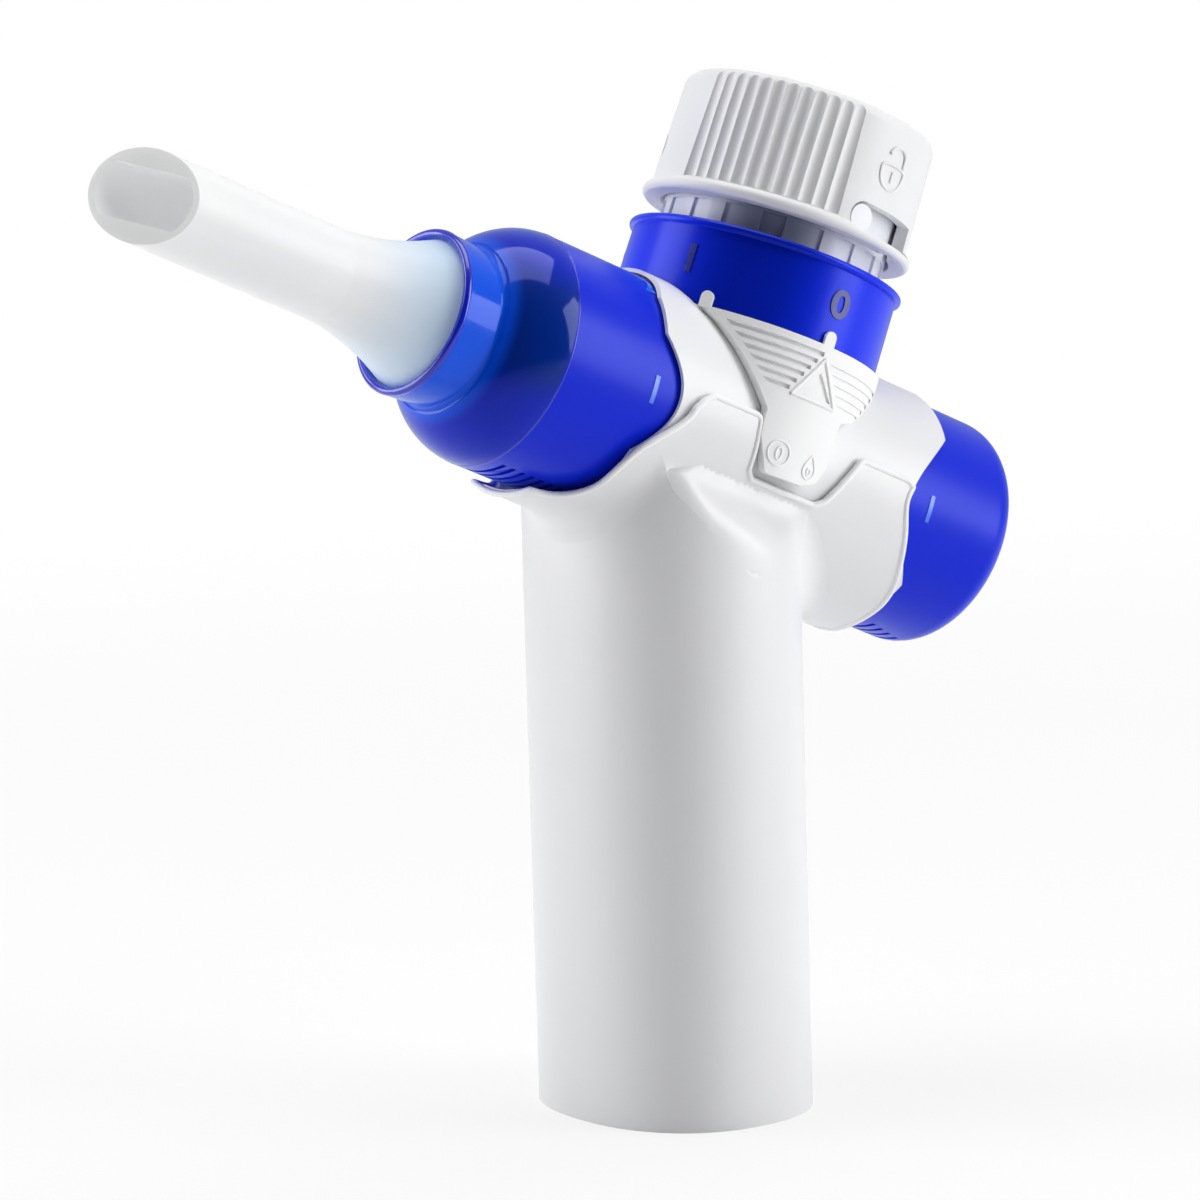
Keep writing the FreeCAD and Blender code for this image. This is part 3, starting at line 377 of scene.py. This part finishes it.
def slice_up(piece, pitch=0.5 * MM):
    """Cuts a flat mark into strips across its width and its height."""
    alone(piece)
    corners = [Vector(corner) for corner in piece.bound_box]
    bpy.ops.object.mode_set(mode="EDIT")
    for axis in (0, 1):
        low = min(corner[axis] for corner in corners)
        high = max(corner[axis] for corner in corners)
        normal = [0, 0, 0]
        normal[axis] = 1
        for step in range(1, int((high - low) / pitch) + 1):
            place = [0, 0, 0]
            place[axis] = low + step * pitch
            bpy.ops.mesh.select_all(action="SELECT")
            bpy.ops.mesh.bisect(plane_co=place, plane_no=normal)
    bpy.ops.object.mode_set(mode="OBJECT")


def wrap_on_tube(piece, radius, along, angle):
    """Wraps a mark round the cross tube. The angle counts up from the viewer's side."""
    for vertex in piece.data.vertices:
        across, up, out = vertex.co
        turn = math.radians(angle) + up / radius
        reach = radius + out
        vertex.co = HEAD @ Vector((along + across, -reach * math.cos(turn), reach * math.sin(turn)))


def wrap_on_neck(piece, radius, height, azimuth):
    """Wraps a mark round the neck. The azimuth counts from the mouthpiece to the viewer's side."""
    for vertex in piece.data.vertices:
        across, up, out = vertex.co
        turn = math.radians(azimuth) + across / radius
        reach = radius + out
        vertex.co = HEAD @ Vector((-reach * math.cos(turn), -reach * math.sin(turn), height + up))


def finish_piece(piece, name, material, body):
    """Names a piece, gives it its plastic and hangs it on a body of the model."""
    piece.name = name
    piece.data.materials.clear()
    piece.data.materials.append(material)
    alone(piece)
    bpy.ops.object.shade_smooth_by_angle(angle=math.radians(40))
    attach(piece, body)
    print(name, "with", len(piece.data.polygons), "faces")


# %% [markdown]
# The dials carry plain numbers, one for each setting. A text object gives the outline of each digit,
# its extrude setting the thickness, and its offset the bolder stroke.

# %% Numbers on the dials
DIGIT_PROUD = 0.12 * MM
DIGIT_BOLD = 0.2 * MM
CAPITAL_SHARE = 0.72
mark_blue = Finish("mark_blue", IOR=1.52, Coat_Weight=0.4)
mark_cloud = mark_blue.noise(mark_blue.place(), 300.0)
mark_blue.feed("Base Color", mark_blue.blend(mark_cloud, (0.006, 0.11, 0.75, 1), (0.015, 0.17, 0.88, 1)))
mark_blue.feed("Roughness", 0.22 + 0.1 * mark_cloud)
bead_blue = Finish("bead_blue", IOR=1.52, Coat_Weight=0.5)
bead_blue.feed("Base Color", bead_blue.blend(bead_blue.noise(bead_blue.place(), 90.0), BLUE, BLUE_DEEP))
bead_blue.feed("Roughness", 0.1 + 0.05 * bead_blue.noise(bead_blue.place(), 400.0))
navy_mark = Finish("navy_mark", IOR=1.52)
navy_cloud = navy_mark.noise(navy_mark.place(), 300.0)
navy_mark.feed("Base Color", navy_mark.blend(navy_cloud, (0.001, 0.008, 0.20, 1), (0.002, 0.014, 0.30, 1)))
navy_mark.feed("Roughness", 0.22 + 0.1 * navy_cloud)


def digit(word, height, wide=1.0):
    """A flat digit, centred, as a mesh."""
    bpy.ops.object.select_all(action="DESELECT")
    bpy.ops.object.text_add(location=(0, 0, 0))
    piece = bpy.context.object
    piece.data.body = word
    piece.data.size = height / CAPITAL_SHARE
    piece.data.extrude = DIGIT_PROUD
    piece.data.offset = DIGIT_BOLD
    piece.data.resolution_u = 6
    bpy.ops.object.convert(target="MESH")
    piece = bpy.context.object
    xs = [vertex.co.x for vertex in piece.data.vertices]
    ys = [vertex.co.y for vertex in piece.data.vertices]
    middle = Vector(((min(xs) + max(xs)) / 2, (min(ys) + max(ys)) / 2, 0))
    for vertex in piece.data.vertices:
        vertex.co -= middle
        vertex.co.x *= wide
    slice_up(piece)
    return piece


BARREL_R = 21.0 * MM
NUMBER_PLACES = (("front", -30.9 * MM), ("rear", 35.0 * MM))
FIRST_TURN = 1.0
SETTING_TURN = 60
RING_R = 24.2 * MM
RING_NUMBER_UP = 26.3 * MM
RING_FIRST_TURN = 89
RING_SETTING_TURN = 68
for number in range(1, 6):
    for name, along in NUMBER_PLACES:
        piece = digit(str(number), 4.7 * MM, 0.9)
        wrap_on_tube(piece, BARREL_R, along, FIRST_TURN + (number - 1) * SETTING_TURN)
        label = name + "_number_" + str(number)
        finish_piece(piece, label, mark_blue.material, name + "_dial")
for number in range(4):
    piece = digit(str(number), 4.9 * MM, 1.2)
    wrap_on_neck(piece, RING_R, RING_NUMBER_UP, RING_FIRST_TURN - RING_SETTING_TURN * number)
    finish_piece(piece, "top_number_" + str(number), navy_mark.material, "top_dial")

# %% [markdown]
# The signs on the shield and the cap are raised lines. A line is a curve with a round bevel, which
# gives it the soft half-round section of a moulded ridge. Only its upper half shows. Three straight
# bars frame the triangle in the middle of the shield. The shapes are in millimetres.

# %% Raised signs
LINE_R = 0.22 * MM


def raised_line(points, closed=True, thick=LINE_R):
    """A round-topped ridge through flat points in millimetres, smoothed by a curve."""
    curve = bpy.data.curves.new("line", "CURVE")
    curve.dimensions = "3D"
    curve.bevel_depth = thick
    curve.bevel_resolution = 3
    curve.resolution_u = 6
    spline = curve.splines.new("NURBS")
    spline.points.add(len(points) - 1)
    for spot, (across, up) in zip(spline.points, points):
        spot.co = (across * MM, up * MM, 0, 1)
    spline.use_cyclic_u = closed
    spline.order_u = 3
    spline.use_endpoint_u = not closed
    piece = bpy.data.objects.new("line", curve)
    bpy.context.collection.objects.link(piece)
    alone(piece)
    bpy.ops.object.convert(target="MESH")
    return bpy.context.object


def oval(width, height, count=16, across=0.0, up=0.0):
    """Points round an oval."""
    turns = [2 * math.pi * step / count for step in range(count)]
    return [(across + width / 2 * math.cos(turn), up + height / 2 * math.sin(turn)) for turn in turns]


DROP_RIGHT = [(0, 2.3), (0.5, 1.5), (1.3, 0.3), (1.5, -0.7), (1.1, -1.6), (0, -2.1)]
DROP = DROP_RIGHT + [(-across, up) for across, up in reversed(DROP_RIGHT[1:-1])]
LOCK_RIGHT = [(0, -2.8), (1.6, -2.4), (2.6, -1.3), (2.9, 0.2), (2.9, 1.7)]
LOCK_BODY = [(-2.9, 0.2), (-2.6, -1.3), (-1.6, -2.4)] + LOCK_RIGHT + [(-2.9, 1.7)]
SHACKLE = [(2.3, 1.8), (2.4, 3.0), (2.1, 4.2), (1.2, 5.0), (-0.2, 5.0), (-1.3, 4.4), (-1.7, 3.5)]
KEY_HOLE = [(0, 0.5), (0.05, -0.4), (0, -1.4)]
SHIELD_R = 25.1 * MM
CAP_SIDE_R = 23.0 * MM
RING_SIGN = (-1.9 * MM, 79.9)
DROP_SIGN = (-2.3 * MM, 96.4)
TRIANGLE = (12.4 * MM, 88.6)
PADLOCK = (51.2 * MM, 98.0)
BAR_R = 0.32 * MM
LOCK_LINE_R = 0.3 * MM
BAR_STEPS = 8
APEX, LEFT_FOOT, RIGHT_FOOT = (-0.2, 3.8), (-4.9, -3.8), (4.9, -3.8)


def bar_points(start, end):
    """Points along a straight bar, close enough to follow the curve of the shield."""
    steps = [step / BAR_STEPS for step in range(BAR_STEPS + 1)]
    return [tuple(a + (b - a) * share for a, b in zip(start, end)) for share in steps]


for name, points in (("ring", oval(4.4, 4.4)), ("ring_mark", oval(1.2, 2.2))):
    piece = raised_line(points)
    wrap_on_neck(piece, SHIELD_R, *RING_SIGN)
    finish_piece(piece, "shield_" + name, shield_white.material, "body")
for name, points in (("drop", DROP), ("drop_mark", oval(0.9, 1.2, up=-0.7))):
    piece = raised_line(points)
    wrap_on_neck(piece, SHIELD_R, *DROP_SIGN)
    finish_piece(piece, "shield_" + name, shield_white.material, "body")
BARS = (("left", APEX, LEFT_FOOT), ("right", APEX, RIGHT_FOOT), ("base", LEFT_FOOT, RIGHT_FOOT))
for name, first, last in BARS:
    piece = raised_line(bar_points(first, last), False, BAR_R)
    wrap_on_neck(piece, SHIELD_R, *TRIANGLE)
    finish_piece(piece, "shield_bar_" + name, shield_white.material, "body")
for name, points in (("body", LOCK_BODY), ("shackle", SHACKLE), ("key_hole", KEY_HOLE)):
    piece = raised_line(points, name == "body", LOCK_LINE_R)
    wrap_on_neck(piece, CAP_SIDE_R, *PADLOCK)
    finish_piece(piece, "padlock_" + name, satin_white.material, "cap")

# %% [markdown]
# Two edges of the front dial catch the light as thin lines: the crease where its polished nose
# begins and the mouth of the socket. A slim torus on each edge is the roundness of that edge. The
# torus is added flat, so it is turned onto the tube's axis in edit mode, which leaves the object
# itself at the origin.

# %% Beads on the front dial
def tube_bead(along, radius, thick):
    """A torus round the tube's axis."""
    bpy.ops.object.select_all(action="DESELECT")
    bpy.ops.mesh.primitive_torus_add(
        major_radius=radius, minor_radius=thick, major_segments=128, minor_segments=12, location=(0, 0, 0))
    piece = bpy.context.object
    for vertex in piece.data.vertices:
        across, away, up = vertex.co
        vertex.co = HEAD @ Vector((along + up, away, across))
    bpy.ops.object.mode_set(mode="EDIT")
    bpy.ops.mesh.select_all(action="SELECT")
    bpy.ops.mesh.normals_make_consistent(inside=False)
    bpy.ops.object.mode_set(mode="OBJECT")
    return piece


BEADS = (("crease", -49.5, 20.72, 0.34), ("socket", -68.1, 13.98, 0.78))
for name, along, radius, thick in BEADS:
    bead = tube_bead(along * MM, radius * MM, thick * MM)
    finish_piece(bead, name + "_bead", bead_blue.material, "front_dial")

# %% [markdown]
# ## Fairing between column and cradle
# On the moulding the grip's column flows into the cradle in one soft curve, while the solid has a
# shoulder there with a sharp rim. A fairing is laid over that shoulder. Its surface is a height over
# the x-z plane: along each upright line it leaves the column where the shoulder begins and meets the
# cradle's round skin, flush with both, by a cubic curve. The skin itself is found with rays.

# %% Measure the skin
FAIR_STEP = 0.6 * MM
FAIR_X = 18.6 * MM
FAIR_LOW = 80 * MM
FAIR_COLUMNS = 63
FAIR_ROWS = 60
RAY_START = -40 * MM
SKIN_NEAREST = 9 * MM


def skin_heights(piece):
    """How far the solid's skin lies from the middle plane, at each point of a grid, by column and row."""
    heights = {}
    for column in range(FAIR_COLUMNS):
        for row in range(FAIR_ROWS):
            start = Vector((-FAIR_X + column * FAIR_STEP, RAY_START, FAIR_LOW + row * FAIR_STEP))
            hit, place, _, _ = piece.ray_cast(start, Vector((0, 1, 0)))
            if hit and place.y < -SKIN_NEAREST:
                heights[column, row] = -place.y
    return heights


skin = skin_heights(nodes["handle_shell"])
print("points on the skin:", len(skin))

# %% Curve of the fairing
SHOULDER_Y = 14.0 * MM
SHOULDER_DEEP = -24.0 * MM
SHOULDER_RADIUS = 12.0 * MM
FAIR_LIFT = 1.6 * MM
FAIR_LOWEST = -18.5 * MM
FAIR_END = -8.4 * MM
FAIR_BELOW = 5 * MM
CRADLE_R = 23.2 * MM
FAIR_FADE = (12.0 * MM, 16.5 * MM)
FAIR_PROUD = 0.02 * MM
FAIR_TUCK = 0.03 * MM
SMOOTH_PASSES = 24
BESIDE = [(-1, 0), (1, 0), (0, -1), (0, 1)]


def ease(share):
    """Rises from 0 to 1 and is level at both ends."""
    return share * share * (3 - 2 * share)


def cubic(share, first, last, end_slope):
    """A curve that starts level at first and ends at last with a slope."""
    return first + (last - first) * ease(share) + end_slope * share * share * (share - 1)


def fair_heights():
    """Heights of the fairing at the grid points that it covers."""
    heights = {}
    rim_y = math.sqrt(CRADLE_R ** 2 - FAIR_END ** 2)
    for column, row in skin:
        x = -FAIR_X + column * FAIR_STEP
        up = (HEAD.inverted() @ Vector((x, 0, FAIR_LOW + row * FAIR_STEP))).z
        wall = skin[column, 0]
        reach = min(max(wall - SHOULDER_Y, 0), SHOULDER_RADIUS)
        start = SHOULDER_DEEP + math.sqrt(SHOULDER_RADIUS ** 2 - reach ** 2) + FAIR_LIFT
        start = max(start, FAIR_LOWEST)
        if abs(x) < FAIR_FADE[1] and start - FAIR_BELOW < up < FAIR_END:
            share = max((up - start) / (FAIR_END - start), 0)
            height = cubic(share, wall, rim_y, -FAIR_END / rim_y * (FAIR_END - start))
            fade = min(max((FAIR_FADE[1] - abs(x)) / (FAIR_FADE[1] - FAIR_FADE[0]), 0), 1)
            lift = max(height - skin[column, row], 0)
            heights[column, row] = skin[column, row] + lift * ease(fade)
    return heights


def smoothed(heights):
    """Moves each height halfway to its neighbours' mean, but never under the skin."""
    softer = {}
    for spot, height in heights.items():
        places = [(spot[0] + c, spot[1] + r) for c, r in BESIDE]
        around = [heights.get(place, skin.get(place, 0)) for place in places]
        softer[spot] = max((height + sum(around) / 4) / 2, skin[spot]) if min(around) > 0 else height
    return softer


faired = fair_heights()
for count in range(SMOOTH_PASSES):
    faired = smoothed(faired)
lift = max(faired[spot] - skin[spot] for spot in faired)
print("smoothed", count + 1, "times, the fairing stands up to", round(lift / MM, 2), "mm over the solid")

# %% Make the fairings
def fairing(side):
    """The fairing on one side of the grip: a grid on its own heights, tucked into the solid all round."""
    bpy.ops.object.select_all(action="DESELECT")
    across, along = FAIR_COLUMNS - 1, FAIR_ROWS - 1
    bpy.ops.mesh.primitive_grid_add(x_subdivisions=across, y_subdivisions=along, size=1, location=(0, 0, 0))
    piece = bpy.context.object
    bpy.ops.object.mode_set(mode="EDIT")
    bpy.ops.mesh.select_mode(type="VERT")
    bpy.ops.mesh.select_all(action="DESELECT")
    bpy.ops.object.mode_set(mode="OBJECT")
    for vertex in piece.data.vertices:
        spot = (round((vertex.co.x + 0.5) * across), round((vertex.co.y + 0.5) * along))
        inside = [(spot[0] + c, spot[1] + r) in faired for c, r in BESIDE]
        height = skin.get(spot, 0) - FAIR_TUCK
        if spot in faired:
            height = faired[spot] + FAIR_PROUD if all(inside) else height
        else:
            vertex.select = not any(inside) or spot not in skin
        vertex.co = (-FAIR_X + spot[0] * FAIR_STEP, side * height, FAIR_LOW + spot[1] * FAIR_STEP)
    bpy.ops.object.mode_set(mode="EDIT")
    bpy.ops.mesh.delete(type="VERT")
    bpy.ops.mesh.select_all(action="SELECT")
    bpy.ops.mesh.normals_make_consistent(inside=False)
    bpy.ops.object.mode_set(mode="OBJECT")
    if sum(face.normal.y * side for face in piece.data.polygons) < 0:
        piece.data.flip_normals()
    return piece


for name, side in (("near", -1), ("far", 1)):
    piece = fairing(side)
    finish_piece(piece, "grip_fairing_" + name, gloss_white.material, "body")

# %% [markdown]
# ## Rounded rim of the cradle
# The cradle that holds the tube ends in a thickened, rounded rim, and light catches it as a white
# line. The rim follows the edge of the CAD solid, so its path is read from that solid: the edge
# runs where the outer skin of the cradle meets its cut face. The edges are chained end to end into
# paths, and a bevelled curve along each path of more than eight points makes the rim.

# %% Find the edge
KEY_STEP = 0.002 * MM


def skin_edges(piece, radius, inside=0.03 * MM, sharp=30):
    """Edges on the cradle's outer skin where the surface turns sharply."""
    head_inverse = HEAD.inverted()
    mesh = piece.data
    spots = [head_inverse @ vertex.co for vertex in mesh.vertices]
    keys = [tuple(round(value / KEY_STEP) for value in vertex.co) for vertex in mesh.vertices]
    walls = {}
    for face in mesh.polygons:
        corners = list(face.vertices)
        for here, there in zip(corners, corners[1:] + corners[:1]):
            reaches = [math.hypot(spots[spot].y, spots[spot].z) for spot in (here, there)]
            if all(abs(reach - radius) < inside for reach in reaches):
                pair = tuple(sorted((keys[here], keys[there])))
                walls.setdefault(pair, []).append(face.normal.copy())
    edges = []
    for pair, normals in walls.items():
        if len(normals) == 2 and normals[0].angle(normals[1]) > math.radians(sharp):
            edges.append(pair)
    return edges


def chains(edges):
    """Joins edges end to end into paths of points."""
    beside = {}
    for here, there in edges:
        beside.setdefault(here, []).append(there)
        beside.setdefault(there, []).append(here)
    ends = [spot for spot, around in beside.items() if len(around) != 2]
    left = {tuple(sorted(edge)) for edge in edges}
    paths = []
    for start in ends + sorted(beside):
        for there in beside[start]:
            path = [start]
            while tuple(sorted((path[-1], there))) in left:
                left.discard(tuple(sorted((path[-1], there))))
                path.append(there)
                onward = [spot for spot in beside[there] if tuple(sorted((there, spot))) in left]
                if not onward:
                    break
                there = onward[0]
            if len(path) > 1:
                paths.append(path)
    return paths


rim_edges = skin_edges(nodes["handle_shell"], CRADLE_R)
rim_paths = chains(rim_edges)
print("edges on the rim:", len(rim_edges), "paths:", [len(path) for path in rim_paths])

# %% Draw the rim
RIM_R = 0.58 * MM
RIM_SINK = 0.2 * MM
SHORTEST_RIM = 8


def rim_along(path, radius, sink, thick, name):
    """A round bead along a path, its middle sunk a little into the skin."""
    curve = bpy.data.curves.new(name, "CURVE")
    curve.dimensions = "3D"
    curve.bevel_depth = thick
    curve.bevel_resolution = 3
    closed = path[0] == path[-1]
    spline = curve.splines.new("POLY")
    keys = path[:-1] if closed else path
    spline.points.add(len(keys) - 1)
    spline.use_cyclic_u = closed
    head_inverse = HEAD.inverted()
    for spot, key in zip(spline.points, keys):
        along, away, up = head_inverse @ (Vector(key) * KEY_STEP)
        grow = (radius - sink) / math.hypot(away, up)
        spot.co = (*(HEAD @ Vector((along, away * grow, up * grow))), 1)
    piece = bpy.data.objects.new(name, curve)
    bpy.context.collection.objects.link(piece)
    alone(piece)
    bpy.ops.object.convert(target="MESH")
    return bpy.context.object


for number, path in enumerate(rim_paths):
    if len(path) > SHORTEST_RIM:
        piece = rim_along(path, CRADLE_R, RIM_SINK, RIM_R, "rim")
        finish_piece(piece, "cradle_rim_" + str(number + 1), shield_white.material, "body")

# %% [markdown]
# ## Studio
# White products are photographed between two large soft boxes with a third overhead, and with the
# camera side left dim. The dim side draws the grey band down the grip and, with the painted navy band
# of shade, the navy valley on the blue nose. The floor is white paper.

# %% Floor and backdrop
def paper(name, glow):
    """White paper: what the camera sees is mostly plain white, and the rest is lit and shadowed."""
    finish = Finish(name, Roughness=0.9)
    fibres = finish.noise(finish.place(), 8.0)
    finish.feed("Base Color", finish.blend(fibres, (0.86, 0.86, 0.86, 1), (0.9, 0.9, 0.9, 1)))
    tree = finish.tree
    light = tree.nodes.new("ShaderNodeEmission")
    mix = tree.nodes.new("ShaderNodeMixShader")
    seen = finish.node("ShaderNodeLightPath", out="Is Camera Ray")
    away = finish.node("ShaderNodeVectorMath", {"operation": "LENGTH"}, {0: finish.place()}, out=1)
    near = away.below(0.5, 0.35)
    finish.set(mix.inputs[0], seen * (1.0 - (1.0 - glow) * near))
    tree.links.new(finish.shader.outputs[0], mix.inputs[1])
    tree.links.new(light.outputs[0], mix.inputs[2])
    tree.links.new(mix.outputs[0], tree.nodes["Material Output"].inputs[0])
    return finish.material


bpy.ops.object.select_all(action="DESELECT")
bpy.ops.mesh.primitive_plane_add(size=6, location=(0, 0, 0))
floor = bpy.context.object
floor.name = "floor"
floor.data.materials.append(paper("paper", 0.75))

# %% [markdown]
# The room is pale, but the wall behind the camera is nearly black, as when a black flag hangs
# there. What faces the camera then reflects darkness, which keeps the blue deep and draws the grey
# band down the grip. The ray's own direction tells how far it points towards that wall.

# %% Room
CAMERA_SIDE = Vector((CAMERA_BACK.x, CAMERA_BACK.y, 0)).normalized()
CAMERA_LEFT = Vector((-CAMERA_RIGHT.x, -CAMERA_RIGHT.y, 0)).normalized()
ROOM_LIGHT = 0.42
FLAG_LIGHT = 0.05
world = bpy.context.scene.world or bpy.data.worlds.new("studio")
bpy.context.scene.world = world
world.use_nodes = True
world_tree = world.node_tree
background = world_tree.nodes["Background"]
background.inputs["Color"].default_value = (1, 1, 1, 1)
direction = world_tree.nodes.new("ShaderNodeTexCoord")
towards = world_tree.nodes.new("ShaderNodeVectorMath")
towards.operation = "DOT_PRODUCT"
towards.inputs[1].default_value = CAMERA_SIDE
world_tree.links.new(direction.outputs["Generated"], towards.inputs[0])
room = world_tree.nodes.new("ShaderNodeMapRange")
room.interpolation_type = "SMOOTHSTEP"
for name, value in (("From Min", -0.1), ("From Max", 0.75), ("To Min", ROOM_LIGHT), ("To Max", FLAG_LIGHT)):
    room.inputs[name].default_value = value
world_tree.links.new(towards.outputs["Value"], room.inputs["Value"])
path = world_tree.nodes.new("ShaderNodeLightPath")
clear = world_tree.nodes.new("ShaderNodeMath")
clear.operation = "MAXIMUM"
world_tree.links.new(path.outputs["Is Camera Ray"], clear.inputs[0])
world_tree.links.new(path.outputs["Is Transmission Ray"], clear.inputs[1])
strength = world_tree.nodes.new("ShaderNodeMapRange")
strength.inputs["To Max"].default_value = 1.0
world_tree.links.new(clear.outputs[0], strength.inputs["Value"])
world_tree.links.new(room.outputs["Result"], strength.inputs["To Min"])
world_tree.links.new(strength.outputs[0], background.inputs["Strength"])
print("room", ROOM_LIGHT, "flag", FLAG_LIGHT)

# %% Soft boxes
MIDDLE = Vector((0, 0, 0.11))
UP = Vector((0, 0, 1))


def soft_box(name, place, width, height, radiance):
    bpy.ops.object.select_all(action="DESELECT")
    bpy.ops.object.light_add(type="AREA", location=place)
    lamp = bpy.context.object
    lamp.name = name
    lamp.data.shape = "RECTANGLE"
    lamp.data.size = width
    lamp.data.size_y = height
    lamp.data.energy = radiance * math.pi * width * height
    lamp.rotation_euler = (MIDDLE - place).to_track_quat("-Z", "Y").to_euler()
    print(name, "power", round(lamp.data.energy, 1), "W")


soft_box("left_box", MIDDLE + CAMERA_LEFT * 0.95 - CAMERA_SIDE * 0.05 + UP * 0.2, 0.6, 1.0, 3.45)
soft_box("right_box", MIDDLE - CAMERA_LEFT * 0.95 + CAMERA_SIDE * 0.2 + UP * 0.2, 0.5, 1.0, 4.9)
soft_box("top_box", MIDDLE - CAMERA_SIDE * 0.1 + UP, 0.9, 0.7, 3.0)

# %% Finish
bpy.context.scene.view_settings.view_transform = "Standard"
